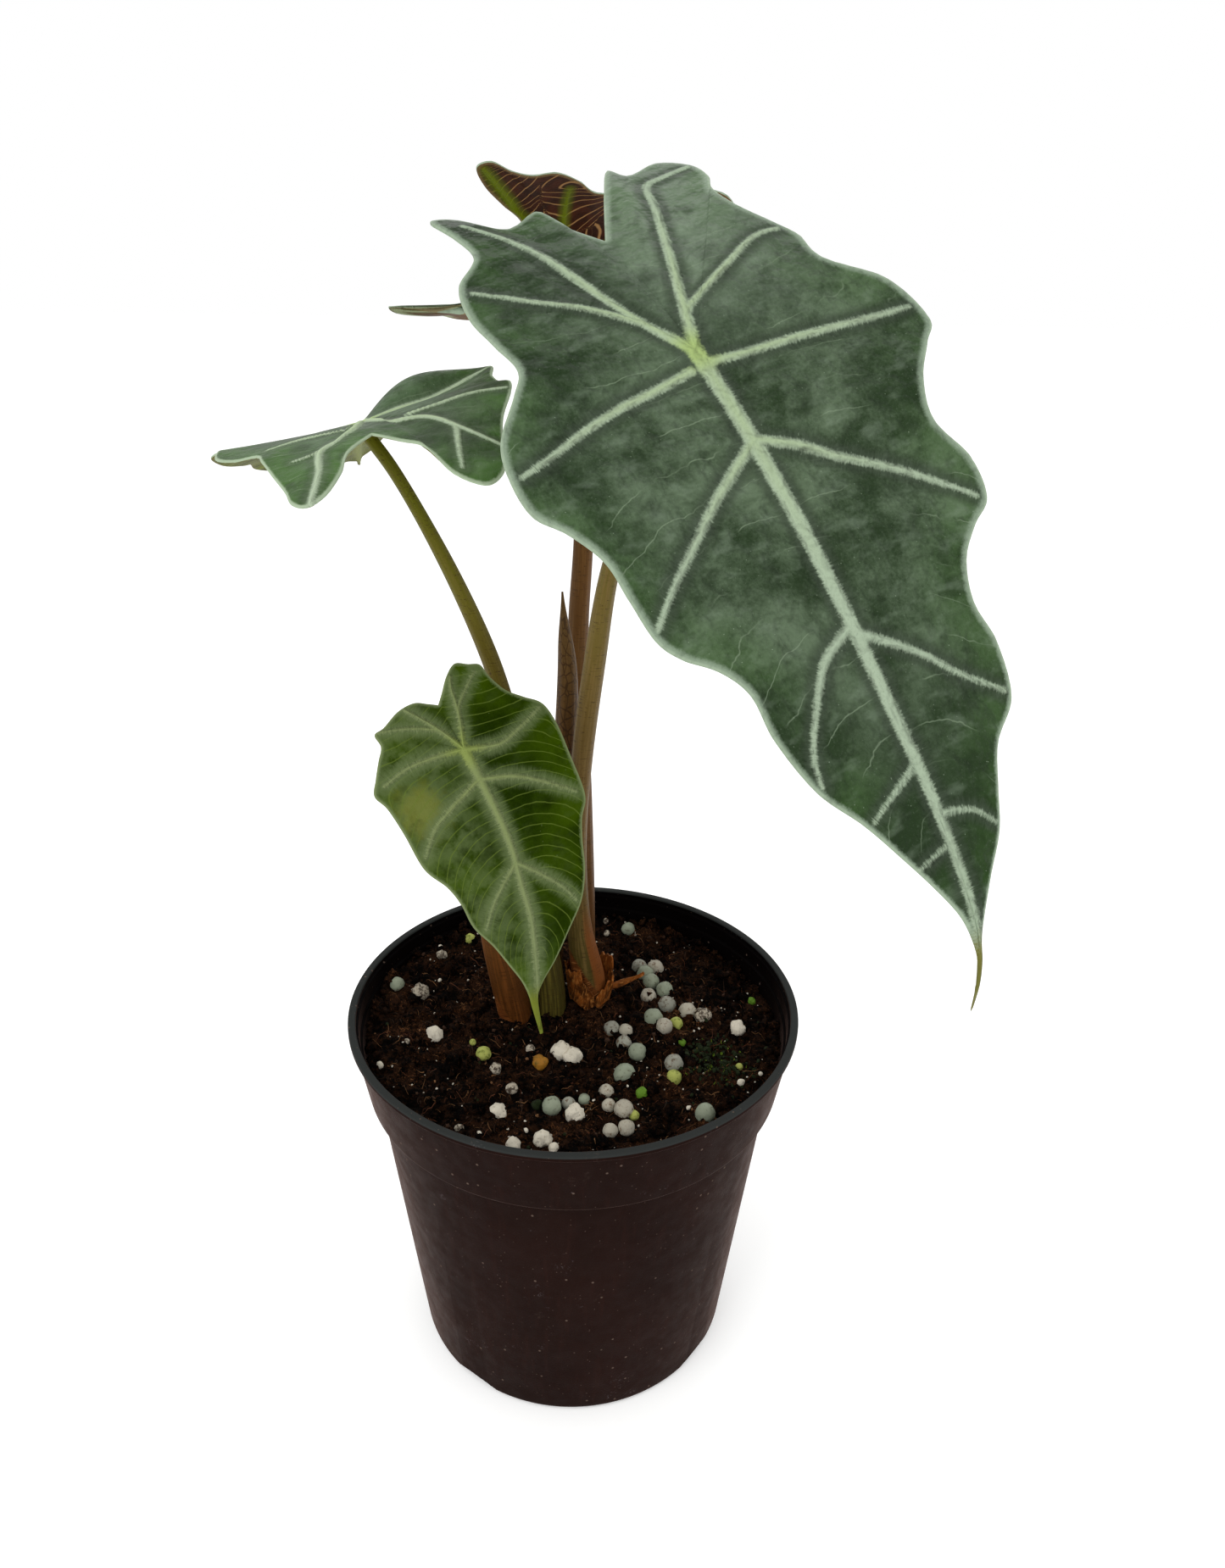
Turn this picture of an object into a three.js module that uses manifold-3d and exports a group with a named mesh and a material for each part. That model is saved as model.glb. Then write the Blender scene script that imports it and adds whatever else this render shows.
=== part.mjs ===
// A potted alocasia polly: a nursery pot filled with peat, four arrow-shaped leaves on their stems,
// a pointed sheath with the next leaf in it, and the papery rest of an old sheath.
// Millimetres, +Z up, the origin on the pot's axis in the plane that its foot stands on.
// The side that shows the large leaf's face is -Y, and +X is to its right.

import * as THREE from "three";
import { mergeVertices } from "three/addons/utils/BufferGeometryUtils.js";
import Module from "manifold-3d";

const wasm = await Module();
wasm.setup();

// Driving dimensions of the pot
const POT_HEIGHT = 105;
const RIM_RADIUS = 60;
const LIP_HEIGHT = 1.6;
const LIP_INNER_RADIUS = 58;
const BAND_HEIGHT = 20.3;
const BAND_TOP_RADIUS = 59;
const BAND_FOOT_RADIUS = 55.9;
const BODY_TOP_RADIUS = 53.6;
const BODY_FOOT_RADIUS = 44.4;
const FOOT_ROUNDING = 2.2;
const WALL = 1.2;
const FLOOR_UNDERSIDE = 3;
const FLOOR_TOP = 4.2;
const FOOT_RING_INNER_RADIUS = 36;
const CENTRE_FOOT_RADIUS = 9;
const POT_SIDES = 40;
const CHANNEL_WIDTH = 15;
const CHANNEL_ANGLES = [-126, -36, 54, 144];
const DRAIN_RADIUS = 3.6;
const DRAIN_CIRCLE = 25;
const DRAIN_COUNT = 4;

// Driving dimensions of the soil and what lies in it
const SOIL_LEVEL = 95.2;
const SOIL_GAP = 0.3;
const STEM_HOLE_DEPTH = 10;
const HEAP_HEIGHT = 3.6;
const HEAP_ANGLE = 140;
const CRUMB_COUNT = 26;
const SEED = 20260;

// Driving dimensions of the leaves and stems
const BLADE_THICKNESS = 0.75;
const SEAT_GAP = 0.3;
const LOBE_REACH = 46;
const STEM_SIDES = 10;
const STEM_STEPS = 16;

// Small helpers: seeded random numbers, smooth steps and solids
function randomSource(seed) {
  let state = seed >>> 0;
  return () => {
    state = (Math.imul(state, 1664525) + 1013904223) >>> 0;
    return state / 4294967296;
  };
}

const vector = (list) => new THREE.Vector3(...list);

function indexed(geometry) {
  const bare = geometry.index ? geometry.toNonIndexed() : geometry.clone();
  for (const name of Object.keys(bare.attributes)) {
    if (name !== "position") bare.deleteAttribute(name);
  }
  const merged = mergeVertices(bare, 1e-3);
  const kept = [];
  const corners = merged.index.array;
  for (let i = 0; i < corners.length; i += 3) {
    const [a, b, c] = [corners[i], corners[i + 1], corners[i + 2]];
    if (a !== b && b !== c && a !== c) kept.push(a, b, c);
  }
  merged.setIndex(kept);
  return merged;
}

function solid(geometry) {
  const merged = indexed(geometry);
  const data = (triVerts) =>
    new wasm.Manifold(
      new wasm.Mesh({
        numProp: 3,
        vertProperties: new Float32Array(merged.attributes.position.array),
        triVerts,
      }),
    );
  const made = data(new Uint32Array(merged.index.array));
  if (made.volume() > 0) return made;
  return data(new Uint32Array(merged.index.array).reverse());
}

function geometryOf(made) {
  const mesh = made.getMesh();
  const geometry = new THREE.BufferGeometry();
  const points = new Float32Array(mesh.numVert * 3);
  for (let i = 0; i < mesh.numVert; i++) {
    points.set(mesh.vertProperties.subarray(i * mesh.numProp, i * mesh.numProp + 3), i * 3);
  }
  geometry.setAttribute("position", new THREE.BufferAttribute(points, 3));
  geometry.setIndex(new THREE.BufferAttribute(new Uint32Array(mesh.triVerts), 1));
  geometry.computeVertexNormals();
  return geometry;
}

function named(name, geometry, material) {
  const mesh = new THREE.Mesh(geometry, material);
  mesh.name = name;
  return mesh;
}

function finish(color, roughness) {
  return new THREE.MeshStandardMaterial({ color, roughness, metalness: 0 });
}

// A profile of [radius, height] points turned about the Z axis
function turned(profile, sides) {
  const points = profile.map(([r, z]) => new THREE.Vector2(r, z));
  return new THREE.LatheGeometry(points, sides).rotateX(Math.PI / 2);
}

// The pot: a lip, a stacking band, a tapering body and a rounded foot with drainage channels
function potSolid() {
  const bandFoot = POT_HEIGHT - BAND_HEIGHT;
  const lipFoot = POT_HEIGHT - LIP_HEIGHT;
  const footRadius = BODY_FOOT_RADIUS - FOOT_ROUNDING;
  const rounding = [25, 60].map((deg) => {
    const turn = THREE.MathUtils.degToRad(deg);
    return [footRadius + FOOT_ROUNDING * Math.sin(turn), FOOT_ROUNDING * (1 - Math.cos(turn))];
  });
  const profile = [
    [0, 0],
    [CENTRE_FOOT_RADIUS, 0],
    [CENTRE_FOOT_RADIUS + 1, FLOOR_UNDERSIDE],
    [FOOT_RING_INNER_RADIUS, FLOOR_UNDERSIDE],
    [FOOT_RING_INNER_RADIUS + 1, 0],
    [footRadius, 0],
    ...rounding,
    [BODY_FOOT_RADIUS, FOOT_ROUNDING],
    [BODY_TOP_RADIUS, bandFoot],
    [BAND_FOOT_RADIUS - 0.5, bandFoot],
    [BAND_FOOT_RADIUS, bandFoot + 0.5],
    [BAND_TOP_RADIUS, lipFoot],
    [RIM_RADIUS - 0.3, lipFoot],
    [RIM_RADIUS, lipFoot + 0.4],
    [RIM_RADIUS, POT_HEIGHT - 0.6],
    [RIM_RADIUS - 0.5, POT_HEIGHT],
    [LIP_INNER_RADIUS + 0.4, POT_HEIGHT],
    [LIP_INNER_RADIUS, POT_HEIGHT - 0.5],
    [LIP_INNER_RADIUS, POT_HEIGHT - 1.4],
    [LIP_INNER_RADIUS - 0.6, POT_HEIGHT - 1.8],
    [LIP_INNER_RADIUS - 0.9, POT_HEIGHT - 5.4],
    [LIP_INNER_RADIUS - 1.5, POT_HEIGHT - 5.8],
    [LIP_INNER_RADIUS - 3.3, bandFoot + 1.2],
    [BODY_TOP_RADIUS - WALL, bandFoot - 1],
    [BODY_FOOT_RADIUS - WALL, FLOOR_TOP + 2.6],
    [BODY_FOOT_RADIUS - WALL - 2.2, FLOOR_TOP],
    [0, FLOOR_TOP],
  ];
  let pot = solid(turned(profile, POT_SIDES));
  for (const deg of CHANNEL_ANGLES) {
    const cut = new THREE.CylinderGeometry(CHANNEL_WIDTH / 2, CHANNEL_WIDTH / 2, 16, 12);
    cut.rotateZ(Math.PI / 2).scale(1, 1, (FLOOR_UNDERSIDE - 0.1) / (CHANNEL_WIDTH / 2));
    cut.translate(BODY_FOOT_RADIUS - 1, 0, 0).rotateZ(THREE.MathUtils.degToRad(deg));
    pot = pot.subtract(solid(cut));
  }
  for (let i = 0; i < DRAIN_COUNT; i++) {
    const hole = new THREE.CylinderGeometry(DRAIN_RADIUS, DRAIN_RADIUS, 8, 12).rotateX(Math.PI / 2);
    hole.translate(DRAIN_CIRCLE, 0, FLOOR_TOP).rotateZ(((i + 0.5) * 2 * Math.PI) / DRAIN_COUNT);
    pot = pot.subtract(solid(hole));
  }
  return pot;
}

// The soil's face: low clods, a slight rise round the stems, and a heap against the pot's wall
function soilHeight(x, y) {
  const turn = THREE.MathUtils.degToRad(HEAP_ANGLE);
  const towards = (x * Math.cos(turn) + y * Math.sin(turn)) / BODY_TOP_RADIUS;
  const heap = HEAP_HEIGHT * Math.max(0, (towards + 0.1) / 1.1) ** 1.5;
  const clods =
    0.55 * Math.sin(0.31 * x + 1.3) * Math.cos(0.27 * y - 0.4) +
    0.4 * Math.sin(0.63 * x - 0.52 * y) +
    0.3 * Math.cos(0.83 * y + 0.41 * x + 2);
  const rise = 1.4 * Math.exp(-((x + 3) ** 2 + (y - 9) ** 2) / 320);
  return SOIL_LEVEL + clods + rise + heap;
}

// Fertiliser prills and perlite as [x, y, diameter], where they lie on the soil's face
const PRILLS = [
  [-50.6, 13.6, 4.2], [-43.7, 11.2, 4.8], [-37.5, -5.9, 4.6], [-23.5, -12.7, 4], [-19.8, -18.5, 3.2],
  [-8.4, -15.8, 4], [-3.1, -11.1, 5.6], [-0.1, -12.8, 4.8], [-14.9, -25.7, 3], [-17.5, -34.3, 4.2],
  [-4.4, -32.8, 4.8], [-0.3, -30.8, 3.4], [3.5, -28.8, 3], [1.4, -34.8, 4.8], [9, -26.1, 3.8],
  [18, -27.1, 3], [9.7, -31.8, 3.4], [13.5, -33.9, 4.8], [10.2, -40.6, 3.7], [14.1, -39.6, 4.1],
  [33.5, -35.2, 4.9], [-13, -45.6, 3.6], [-6, -44, 4.1], [13.7, -19.3, 5.6], [17.1, -10.6, 4.8],
  [13.5, -7.5, 4.1], [10.2, -1.4, 4.2], [14, -1.9, 3.8], [26.6, -15.2, 4.8], [26.4, -20.7, 3.9],
  [44.5, -0.3, 4.4], [18.1, 28.2, 4.5], [22.8, 28.3, 5], [19.8, 24.3, 4.8], [21.4, 21, 4.8],
  [25.2, 17.3, 4.8], [20.6, 15.5, 4.6], [25.7, 11.2, 5], [21.7, 4, 5.2], [24.6, -0.1, 4.5],
  [31.3, 7.8, 4.8], [35.4, 5.8, 4.6], [28, 3, 3.7], [14.9, 48.5, 4.2], [-40.2, 29.2, 3.2],
  [-32.7, 37.5, 3.4],
];

// The soil: the peat between the pot's walls, what lies in it, and a hole for each stem
function soilSolid(stems) {
  const inside = (r) => r - SOIL_GAP;
  const bandFoot = POT_HEIGHT - BAND_HEIGHT;
  const top = inside(LIP_INNER_RADIUS - 2.2);
  const rings = [48, 39, 31, 24.5, 18, 12, 6].map((r) => [r, SOIL_LEVEL]);
  const profile = [
    [0, FLOOR_TOP + SOIL_GAP],
    [BODY_FOOT_RADIUS - WALL - 2.8, FLOOR_TOP + SOIL_GAP],
    [inside(BODY_FOOT_RADIUS - WALL) - 0.2, FLOOR_TOP + 3.3],
    [inside(BODY_TOP_RADIUS - WALL) - 0.1, bandFoot - 0.6],
    [inside(LIP_INNER_RADIUS - 3.3) - 0.2, bandFoot + 1.8],
    [top, SOIL_LEVEL],
    ...rings,
    [0, SOIL_LEVEL],
  ];
  const body = turned(profile, POT_SIDES);
  const points = body.attributes.position;
  for (let i = 0; i < points.count; i++) {
    if (points.getZ(i) > SOIL_LEVEL - 0.5) {
      points.setZ(i, soilHeight(points.getX(i), points.getY(i)));
    }
  }
  const random = randomSource(SEED);
  const pieces = [];
  const place = (geometry, x, y, sunk) => {
    geometry.rotateX(random() * 3).rotateZ(random() * 3);
    geometry.translate(x, y, soilHeight(x, y) + sunk);
    pieces.push(solid(geometry));
  };
  for (const [x, y, width] of PRILLS) {
    place(new THREE.IcosahedronGeometry(width * 0.53, 0), x, y, 0.14 * width);
  }
  for (let i = 0; i < CRUMB_COUNT; i++) {
    const angle = random() * 2 * Math.PI;
    const reach = 8 + 44 * Math.sqrt(random());
    const size = 0.8 + 1.1 * random();
    place(new THREE.OctahedronGeometry(size, 0), reach * Math.cos(angle), reach * Math.sin(angle), 0.1);
  }
  let soil = solid(body);
  for (const piece of pieces) soil = soil.add(piece);
  for (const stem of stems) soil = soil.subtract(stemSolid(stem, SEAT_GAP, 0.5));
  return soil.decompose().sort((a, b) => b.volume() - a.volume())[0];
}

// A blade is laid out in its own frame: u runs from the stem's joint along the midrib to the tip, v runs
// across it, and w is the height over the leaf's plane. Rows run from the notch between the back lobes
// round each side to the tip. Each row starts on the spine, at its [u, v, lift], and ends on the edge.
const at = (points, k) => points[Math.min(points.length - 1, Math.max(0, k))];

function along(points, place) {
  const k = Math.min(points.length - 2, Math.floor(place));
  const t = place - k;
  const [a, b, c, d] = [at(points, k - 1), at(points, k), at(points, k + 1), at(points, k + 2)];
  return b.map(
    (_, i) =>
      0.5 *
      (2 * b[i] +
        (c[i] - a[i]) * t +
        (2 * a[i] - 5 * b[i] + 4 * c[i] - d[i]) * t * t +
        (3 * b[i] - a[i] - 3 * c[i] + d[i]) * t * t * t),
  );
}

function alongStraight(points, place) {
  const k = Math.min(points.length - 2, Math.floor(place));
  return points[k].map((value, i) => value + (points[k + 1][i] - value) * (place - k));
}

// The height of a bent blade; cup, fold and sag have one value for each side of the midrib, and the sag
// is how far a back lobe hangs between the joint and its tip
function bladeHeight(bend, u, v) {
  const side = v < 0 ? 0 : 1;
  const back = Math.min(u, 0);
  const front = Math.max(u, 0);
  const hang = Math.sin(Math.PI * Math.min(1, -back / LOBE_REACH)) * Math.min(1, Math.abs(v) / 12);
  return (
    (bend.droop * front * front +
      bend.cup[side] * v * v +
      bend.lobe * back * back +
      bend.twist * u * v +
      bend.fold[side] * back * Math.abs(v)) /
      1000 -
    bend.sag[side] * hang
  );
}

// How far the blade swells up between two main side veins; it is nothing on the veins
function swellBetween(veins, swells, place) {
  for (let i = 0; i + 1 < veins.length; i++) {
    if (place >= veins[i] && place <= veins[i + 1]) {
      return swells[i] * Math.sin((Math.PI * (place - veins[i])) / (veins[i + 1] - veins[i]));
    }
  }
  return 0;
}

function bladePoint(leaf, place, side, share) {
  const root = alongStraight(leaf.spine, place);
  const edge = along(side < 0 ? leaf.left : leaf.right, place);
  const bow = 0.28 * leaf.bow * root[0] * share * (1 - share);
  const u = root[0] + (edge[0] - root[0]) * share - bow;
  const v = root[1] + (edge[1] - root[1]) * share;
  const rise = root[2] + (edge[2] - root[2]) * share ** 2.5;
  const swells = leaf.swells[side < 0 ? 0 : 1];
  const swell = swellBetween(leaf.veins, swells, place) * Math.sin(Math.PI * share);
  return { u, v, w: bladeHeight(leaf.bend, u, v) + rise + swell };
}

// Thickness under a point: the midrib and the main side veins stand out of the lower face
function ribDepth(leaf, place, share) {
  const toTip = place / (leaf.spine.length - 1);
  if (share === 0) return leaf.rib * (1 - 0.8 * toTip);
  const onVein = leaf.veins.some((vein) => Math.abs(vein - place) < 0.01);
  return onVein ? 0.55 * leaf.rib * (1 - share) * (1 - 0.6 * toTip) : 0;
}

function bladeSolid(leaf) {
  const rows = (leaf.spine.length - 1) * leaf.steps;
  const shares = leaf.shares;
  const columns = shares.length - 1;
  const across = vector(leaf.up).cross(vector(leaf.toTip)).normalize();
  const toTip = across.clone().cross(vector(leaf.up)).normalize();
  const up = vector(leaf.up).normalize();
  const toWorld = ({ u, v, w }) =>
    vector(leaf.joint).addScaledVector(toTip, u).addScaledVector(across, v).addScaledVector(up, w);
  const upper = new THREE.PlaneGeometry(1, 1, 2 * columns, rows);
  const lower = upper.clone();
  const width = 2 * columns + 1;
  for (let row = 0; row <= rows; row++) {
    for (let column = 0; column < width; column++) {
      const side = column < columns ? -1 : 1;
      const share = shares[Math.abs(column - columns)];
      const place = row / leaf.steps;
      const point = bladePoint(leaf, place, side, share);
      const slope = 0.5;
      const du = (bladeHeight(leaf.bend, point.u + slope, point.v) -
        bladeHeight(leaf.bend, point.u - slope, point.v)) / (2 * slope);
      const dv = (bladeHeight(leaf.bend, point.u, point.v + slope) -
        bladeHeight(leaf.bend, point.u, point.v - slope)) / (2 * slope);
      const normal = up.clone().addScaledVector(toTip, -du).addScaledVector(across, -dv).normalize();
      const top = toWorld(point);
      const depth = BLADE_THICKNESS + ribDepth(leaf, place, share);
      const under = top.clone().addScaledVector(normal, -depth);
      const index = row * width + column;
      upper.attributes.position.setXYZ(index, top.x, top.y, top.z);
      lower.attributes.position.setXYZ(index, under.x, under.y, under.z);
    }
  }
  const count = upper.attributes.position.count;
  const faces = [...upper.index.array];
  for (let i = 0; i < upper.index.count; i += 3) {
    const corner = upper.index.array.slice(i, i + 3);
    faces.push(corner[0] + count, corner[2] + count, corner[1] + count);
  }
  const skirt = [];
  for (let row = 0; row < rows; row++) skirt.push([row * width, (row + 1) * width]);
  for (let column = 0; column < width - 1; column++) {
    skirt.push([rows * width + column, rows * width + column + 1]);
  }
  for (let row = rows; row > 0; row--) skirt.push([(row + 1) * width - 1, row * width - 1]);
  for (const [a, b] of skirt) faces.push(b, a, a + count, b, a + count, b + count);
  const points = [...upper.attributes.position.array, ...lower.attributes.position.array];
  const blade = new THREE.BufferGeometry();
  blade.setAttribute("position", new THREE.Float32BufferAttribute(points, 3));
  blade.setIndex(faces);
  return solid(blade);
}

// A stem follows a smooth curve and is as thick at each point as its own radii say
function stemSolid(stem, extra, extraLength) {
  const path = new THREE.CatmullRomCurve3(stem.path.map(vector));
  const radii = stem.radii.map((r) => [r]);
  const frames = path.computeFrenetFrames(STEM_STEPS, false);
  const tube = new THREE.CylinderGeometry(1, 1, 1, STEM_SIDES, STEM_STEPS);
  const points = tube.attributes.position;
  for (let i = 0; i < points.count; i++) {
    const step = Math.round((points.getY(i) + 0.5) * STEM_STEPS);
    const share = step / STEM_STEPS;
    const centre = path.getPointAt(share);
    if (step === 0) centre.addScaledVector(frames.tangents[0], -extraLength);
    const radius = alongStraight(radii, share * (radii.length - 1))[0] + extra;
    centre.addScaledVector(frames.normals[step], points.getX(i) * radius);
    centre.addScaledVector(frames.binormals[step], points.getZ(i) * radius);
    points.setXYZ(i, centre.x, centre.y, centre.z);
  }
  return solid(tube);
}

// The point where a stem meets its blade: just under the joint's rib
function seatOf(leaf, depth) {
  const under = BLADE_THICKNESS + leaf.rib + SEAT_GAP + depth;
  return vector(leaf.joint).addScaledVector(vector(leaf.up).normalize(), -under).toArray();
}

// The same swell between all the main side veins of one half of a blade
const evenly = (swell) => Array(5).fill(swell);

// The large leaf: edges from the photograph, with lifts for the waves between its side veins
const frontLeaf = {
  joint: [22.9, -37, 273.6],
  toTip: [0.483, -0.623, -0.615],
  up: [0.09, -0.664, 0.743],
  bend: { droop: -2.16, cup: [1.49, 1.49], lobe: -3.7, twist: 0, fold: [0, 0], sag: [0, 0] },
  bow: 0.8,
  swells: [evenly(1.1), evenly(1.1)],
  rib: 1.5,
  steps: 2,
  shares: [0, 0.14, 0.36, 0.6, 0.82, 1],
  veins: [0, 5, 14, 19, 24, 30],
  spine: [
    ...Array(14).fill([0, 0, 0]),
    [2, 0, 0], [6, 0, 0], [11, 0, 0], [16, 0, 0], [20, 0, 0], [23, 0, 0], [32, 0, 0], [41, 0, 0],
    [49, -0.3, 0], [55, -0.4, 0], [59.5, -0.5, 0], [70, -0.5, 0], [81, -0.4, 0], [92, -0.5, 0],
    [102, -0.9, 0], [110, -1.7, 0], [115.5, -3.1, 0], [119, -4.3, -1.5], [122, -5.4, -5],
  ],
  left: [
    [-34, 0, 0], [-42, -4, 0], [-50, -6.5, 0.6], [-48.5, -14, -0.6], [-56, -21.5, 0.4],
    [-55.5, -27, 1.5], [-47, -25.4, 1], [-39, -25.4, 0.8], [-33, -31.3, -0.6], [-24, -33.4, -1],
    [-15, -32.7, -0.4], [-7, -32.2, 1], [-1.5, -35.7, 1.2], [6, -41.8, 0.2], [13, -43.5, -0.6],
    [20.5, -43, -0.6], [26, -39.2, 0.3], [33, -36, 1], [40, -35.2, 0.6], [47.5, -33.8, -0.6],
    [52, -31, -0.5], [56.5, -26.4, 0.6], [62, -23.3, 0.9], [70, -22.6, 0.2], [80, -19.2, -0.5],
    [88, -14, 0.1], [95, -10.3, 0.6], [102, -6.4, 0.3], [108, -3.6, 0], [113, -3.1, 0],
    [116.5, -3.8, 0], [119.6, -4.9, -1.8], [122.3, -5.6, -5.2],
  ],
  right: [
    [-34, 0, 0], [-41.5, 4, 0], [-49.5, 8.4, 0.3], [-56.5, 13, 1.2], [-53, 16, 0.4],
    [-55.4, 24, -0.5], [-50.3, 29, -0.8], [-43, 28.6, 0], [-37, 25.6, 1.2], [-30, 26.4, 1.2],
    [-23.4, 30, 0.2], [-17.5, 33, -0.5], [-9, 32.6, 0.8], [1, 40.5, 0.6], [11.5, 43.6, -0.6],
    [16.5, 39.8, 0.4], [23, 34.6, 1.3], [31, 32, 1.3], [39.5, 35.2, 0.2], [47, 34.8, -0.8],
    [51, 29.4, 0.4], [56, 24.4, 1.2], [63, 22.1, 1], [70.5, 23.4, 0], [79.6, 22, -0.8],
    [85.5, 15.6, 0.2], [92, 12, 0.8], [98.5, 9.2, 0.4], [105, 4.2, 0], [112, -0.9, 0],
    [116, -2.7, 0], [119.2, -4, -1.6], [122, -5.2, -5],
  ],
};

// The small leaf in front of the stems: its midrib curves to the left towards the tip
const smallLeaf = {
  joint: [-24, -22, 187.8],
  toTip: [0.463, -0.334, -0.821],
  up: [0.243, -0.843, 0.479],
  bend: { droop: -3.4, cup: [1.5, 1.5], lobe: -5, twist: 1, fold: [0, 0], sag: [0, 0] },
  bow: 0.8,
  swells: [evenly(0.6), evenly(0.6)],
  rib: 0.9,
  steps: 2,
  shares: [0, 0.2, 0.5, 0.8, 1],
  veins: [0, 4, 9, 12, 16, 20],
  spine: [
    ...Array(9).fill([0, 0, 0]),
    [0.6, 0, 0], [3, 0, 0], [5.5, 0, 0], [8.5, 0, 0], [15, 0.1, 0], [21, -0.1, 0], [26, -0.7, 0],
    [30, -1.4, 0], [38, -2.7, 0], [46, -4.6, 0], [54.5, -7.8, 0], [60, -10, 0], [68, -11.6, 0],
  ],
  left: [
    [-11.4, -0.5, 0], [-12.6, -2.4, 0], [-14.1, -5.2, 0.3], [-13.9, -9.2, 0], [-12, -13.6, 0.3],
    [-11.4, -16.1, 0], [-8.4, -16.1, 0.3], [-5.8, -18, 0], [-2.5, -20.3, -0.3], [0.7, -22.2, -0.4],
    [4.5, -21, 0.4], [11, -20.3, 0.7], [20, -19.7, -0.4], [26, -17, 0.5], [31, -15.9, 0.6],
    [37, -15.6, 0.2], [43, -13.4, -0.4], [49, -12, 0.2], [54, -10.9, 0.2], [58.2, -10.8, 0],
    [61, -11.2, 0], [68, -12, 0],
  ],
  right: [
    [-11.4, -0.5, 0], [-13.4, 1.4, 0], [-16.5, 4.2, 0.3], [-18.3, 7.2, 0], [-16.9, 9.8, 0.3],
    [-15.6, 12.2, 0], [-12.2, 12.8, 0.3], [-8, 14.6, 0], [-4.8, 17.6, -0.3], [-1.5, 20.8, -0.4],
    [4, 21.5, 0.4], [12, 21, 0.7], [21.5, 20.4, -0.4], [26, 17.3, 0.5], [31, 15.1, 0.6],
    [37, 13.1, 0.2], [43.2, 9.6, -0.4], [48, 4.2, 0.2], [53, -1.6, 0.2], [56.8, -6.8, 0],
    [60, -9.2, 0], [68, -11.2, 0],
  ],
};

// The front half of the edge that the left and back leaves share, before each leaf's own size
const FRONT_EDGE = [
  [20, 41], [28, 36.5], [37, 34.5], [47, 34], [53, 29.5], [61, 24.5], [70, 23], [80, 21],
  [88, 14.5], [98, 9], [107, 5], [113, 1.8], [117, 0.8], [124, 0.6],
];
const SPINE_ENDS = [2, 7, 13, 18, 22, 33, 44, 53, 60, 72, 87, 101, 111.5, 116, 124];

// A leaf from the [u, v, lift] outlines of its two back lobes, with a wave along its whole edge
function lobedLeaf({ size, wave, phase, lobes }) {
  const side = (sign) => {
    const front = FRONT_EDGE.map(([u, v]) => [u * size, sign * v * size]);
    const edge = [...lobes[sign < 0 ? 0 : 1], ...front];
    return edge.map(([u, v, lift = 0], i) => {
      const ripple = i > 1 && i < 25 ? wave * Math.sin(1.55 * i + phase + 0.8 * sign) : 0;
      return [u, v, lift + ripple];
    });
  };
  return {
    steps: 2,
    shares: [0, 0.2, 0.5, 0.8, 1],
    veins: [0, 4, 13, 17, 21, 26],
    spine: [...Array(13).fill(0), ...SPINE_ENDS].map((u) => [u * size, 0, 0]),
    left: side(-1),
    right: side(1),
  };
}

// The leaf at the left points away and its back lobes hang towards the front
const leftLeaf = {
  ...lobedLeaf({
    size: 0.787,
    wave: 0.6,
    phase: 0.4,
    lobes: [
      [
        [-22, 0], [-26.5, -5], [-30.2, -9], [-38.5, -12], [-42.3, -17], [-40.3, -21.2],
        [-34.5, -23.5], [-27.5, -25], [-20, -27.5], [-13.5, -31.3], [-8.6, -32.6], [-3.6, -30.8],
        [3, -30.9], [9.4, -32.6],
      ],
      [
        [-22, 0], [-28, 5.8], [-34.5, 8.4], [-41, 12.4], [-44.2, 16.5], [-41.5, 19.2],
        [-35.4, 19.8], [-28.5, 21.2], [-21.5, 22.6], [-16.1, 23.5], [-12, 28.5], [-7, 31.9],
        [2, 31.4], [8.5, 33.8],
      ],
    ],
  }),
  joint: [-46.8, 4.4, 254],
  toTip: [-0.244, 0.954, -0.176],
  up: [-0.261, 0.11, 0.959],
  bend: { droop: -0.9, cup: [3.33, 1.69], lobe: -5.93, twist: -3.23, fold: [6.93, 5.78], sag: [0, 0] },
  bow: 0.8,
  swells: [[0.4, 1.2, 6.3, 1.5, 0.5], evenly(0.5)],
  rib: 1.1,
};

// The leaf behind turns its lower face to the front, and its tip hangs away
const backLeaf = {
  ...lobedLeaf({
    size: 0.821,
    wave: 0.5,
    phase: 2.1,
    lobes: [
      [
        [-17.5, 0], [-22, -5.3], [-30, -9.8], [-37.5, -14.4], [-42.5, -19.2], [-40.8, -22.2],
        [-34.9, -20.9], [-29, -20.4], [-23.5, -22.2], [-17, -21.5], [-11, -20], [-4, -24],
        [3, -31], [10.3, -35.7],
      ],
      [
        [-17.5, 0], [-25, 7, -6], [-34, 14, -0.8], [-41, 17.2, 0.4], [-46, 18.4, 1],
        [-42.5, 21.3, 4.8], [-35, 22.7, 7.6], [-28.7, 24.5, 9.2], [-22.2, 26.7, 9],
        [-14.8, 27.1, 7], [-7.4, 27.9, 4.6], [-0.8, 31.2, 2.4], [4.9, 34.5, 0.8], [10.3, 35.7],
      ],
    ],
  }),
  joint: [0.2, 47, 288.2],
  toTip: [0.78, 0.596, -0.19],
  up: [-0.282, 0.606, 0.744],
  bend: {
    droop: -3.85, cup: [-7.64, 4.81], lobe: -2.72, twist: 2.74, fold: [0.71, 7.02], sag: [0, 8],
  },
  bow: 0.8,
  swells: [evenly(0.8), evenly(0.8)],
  rib: 1.2,
};

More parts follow.
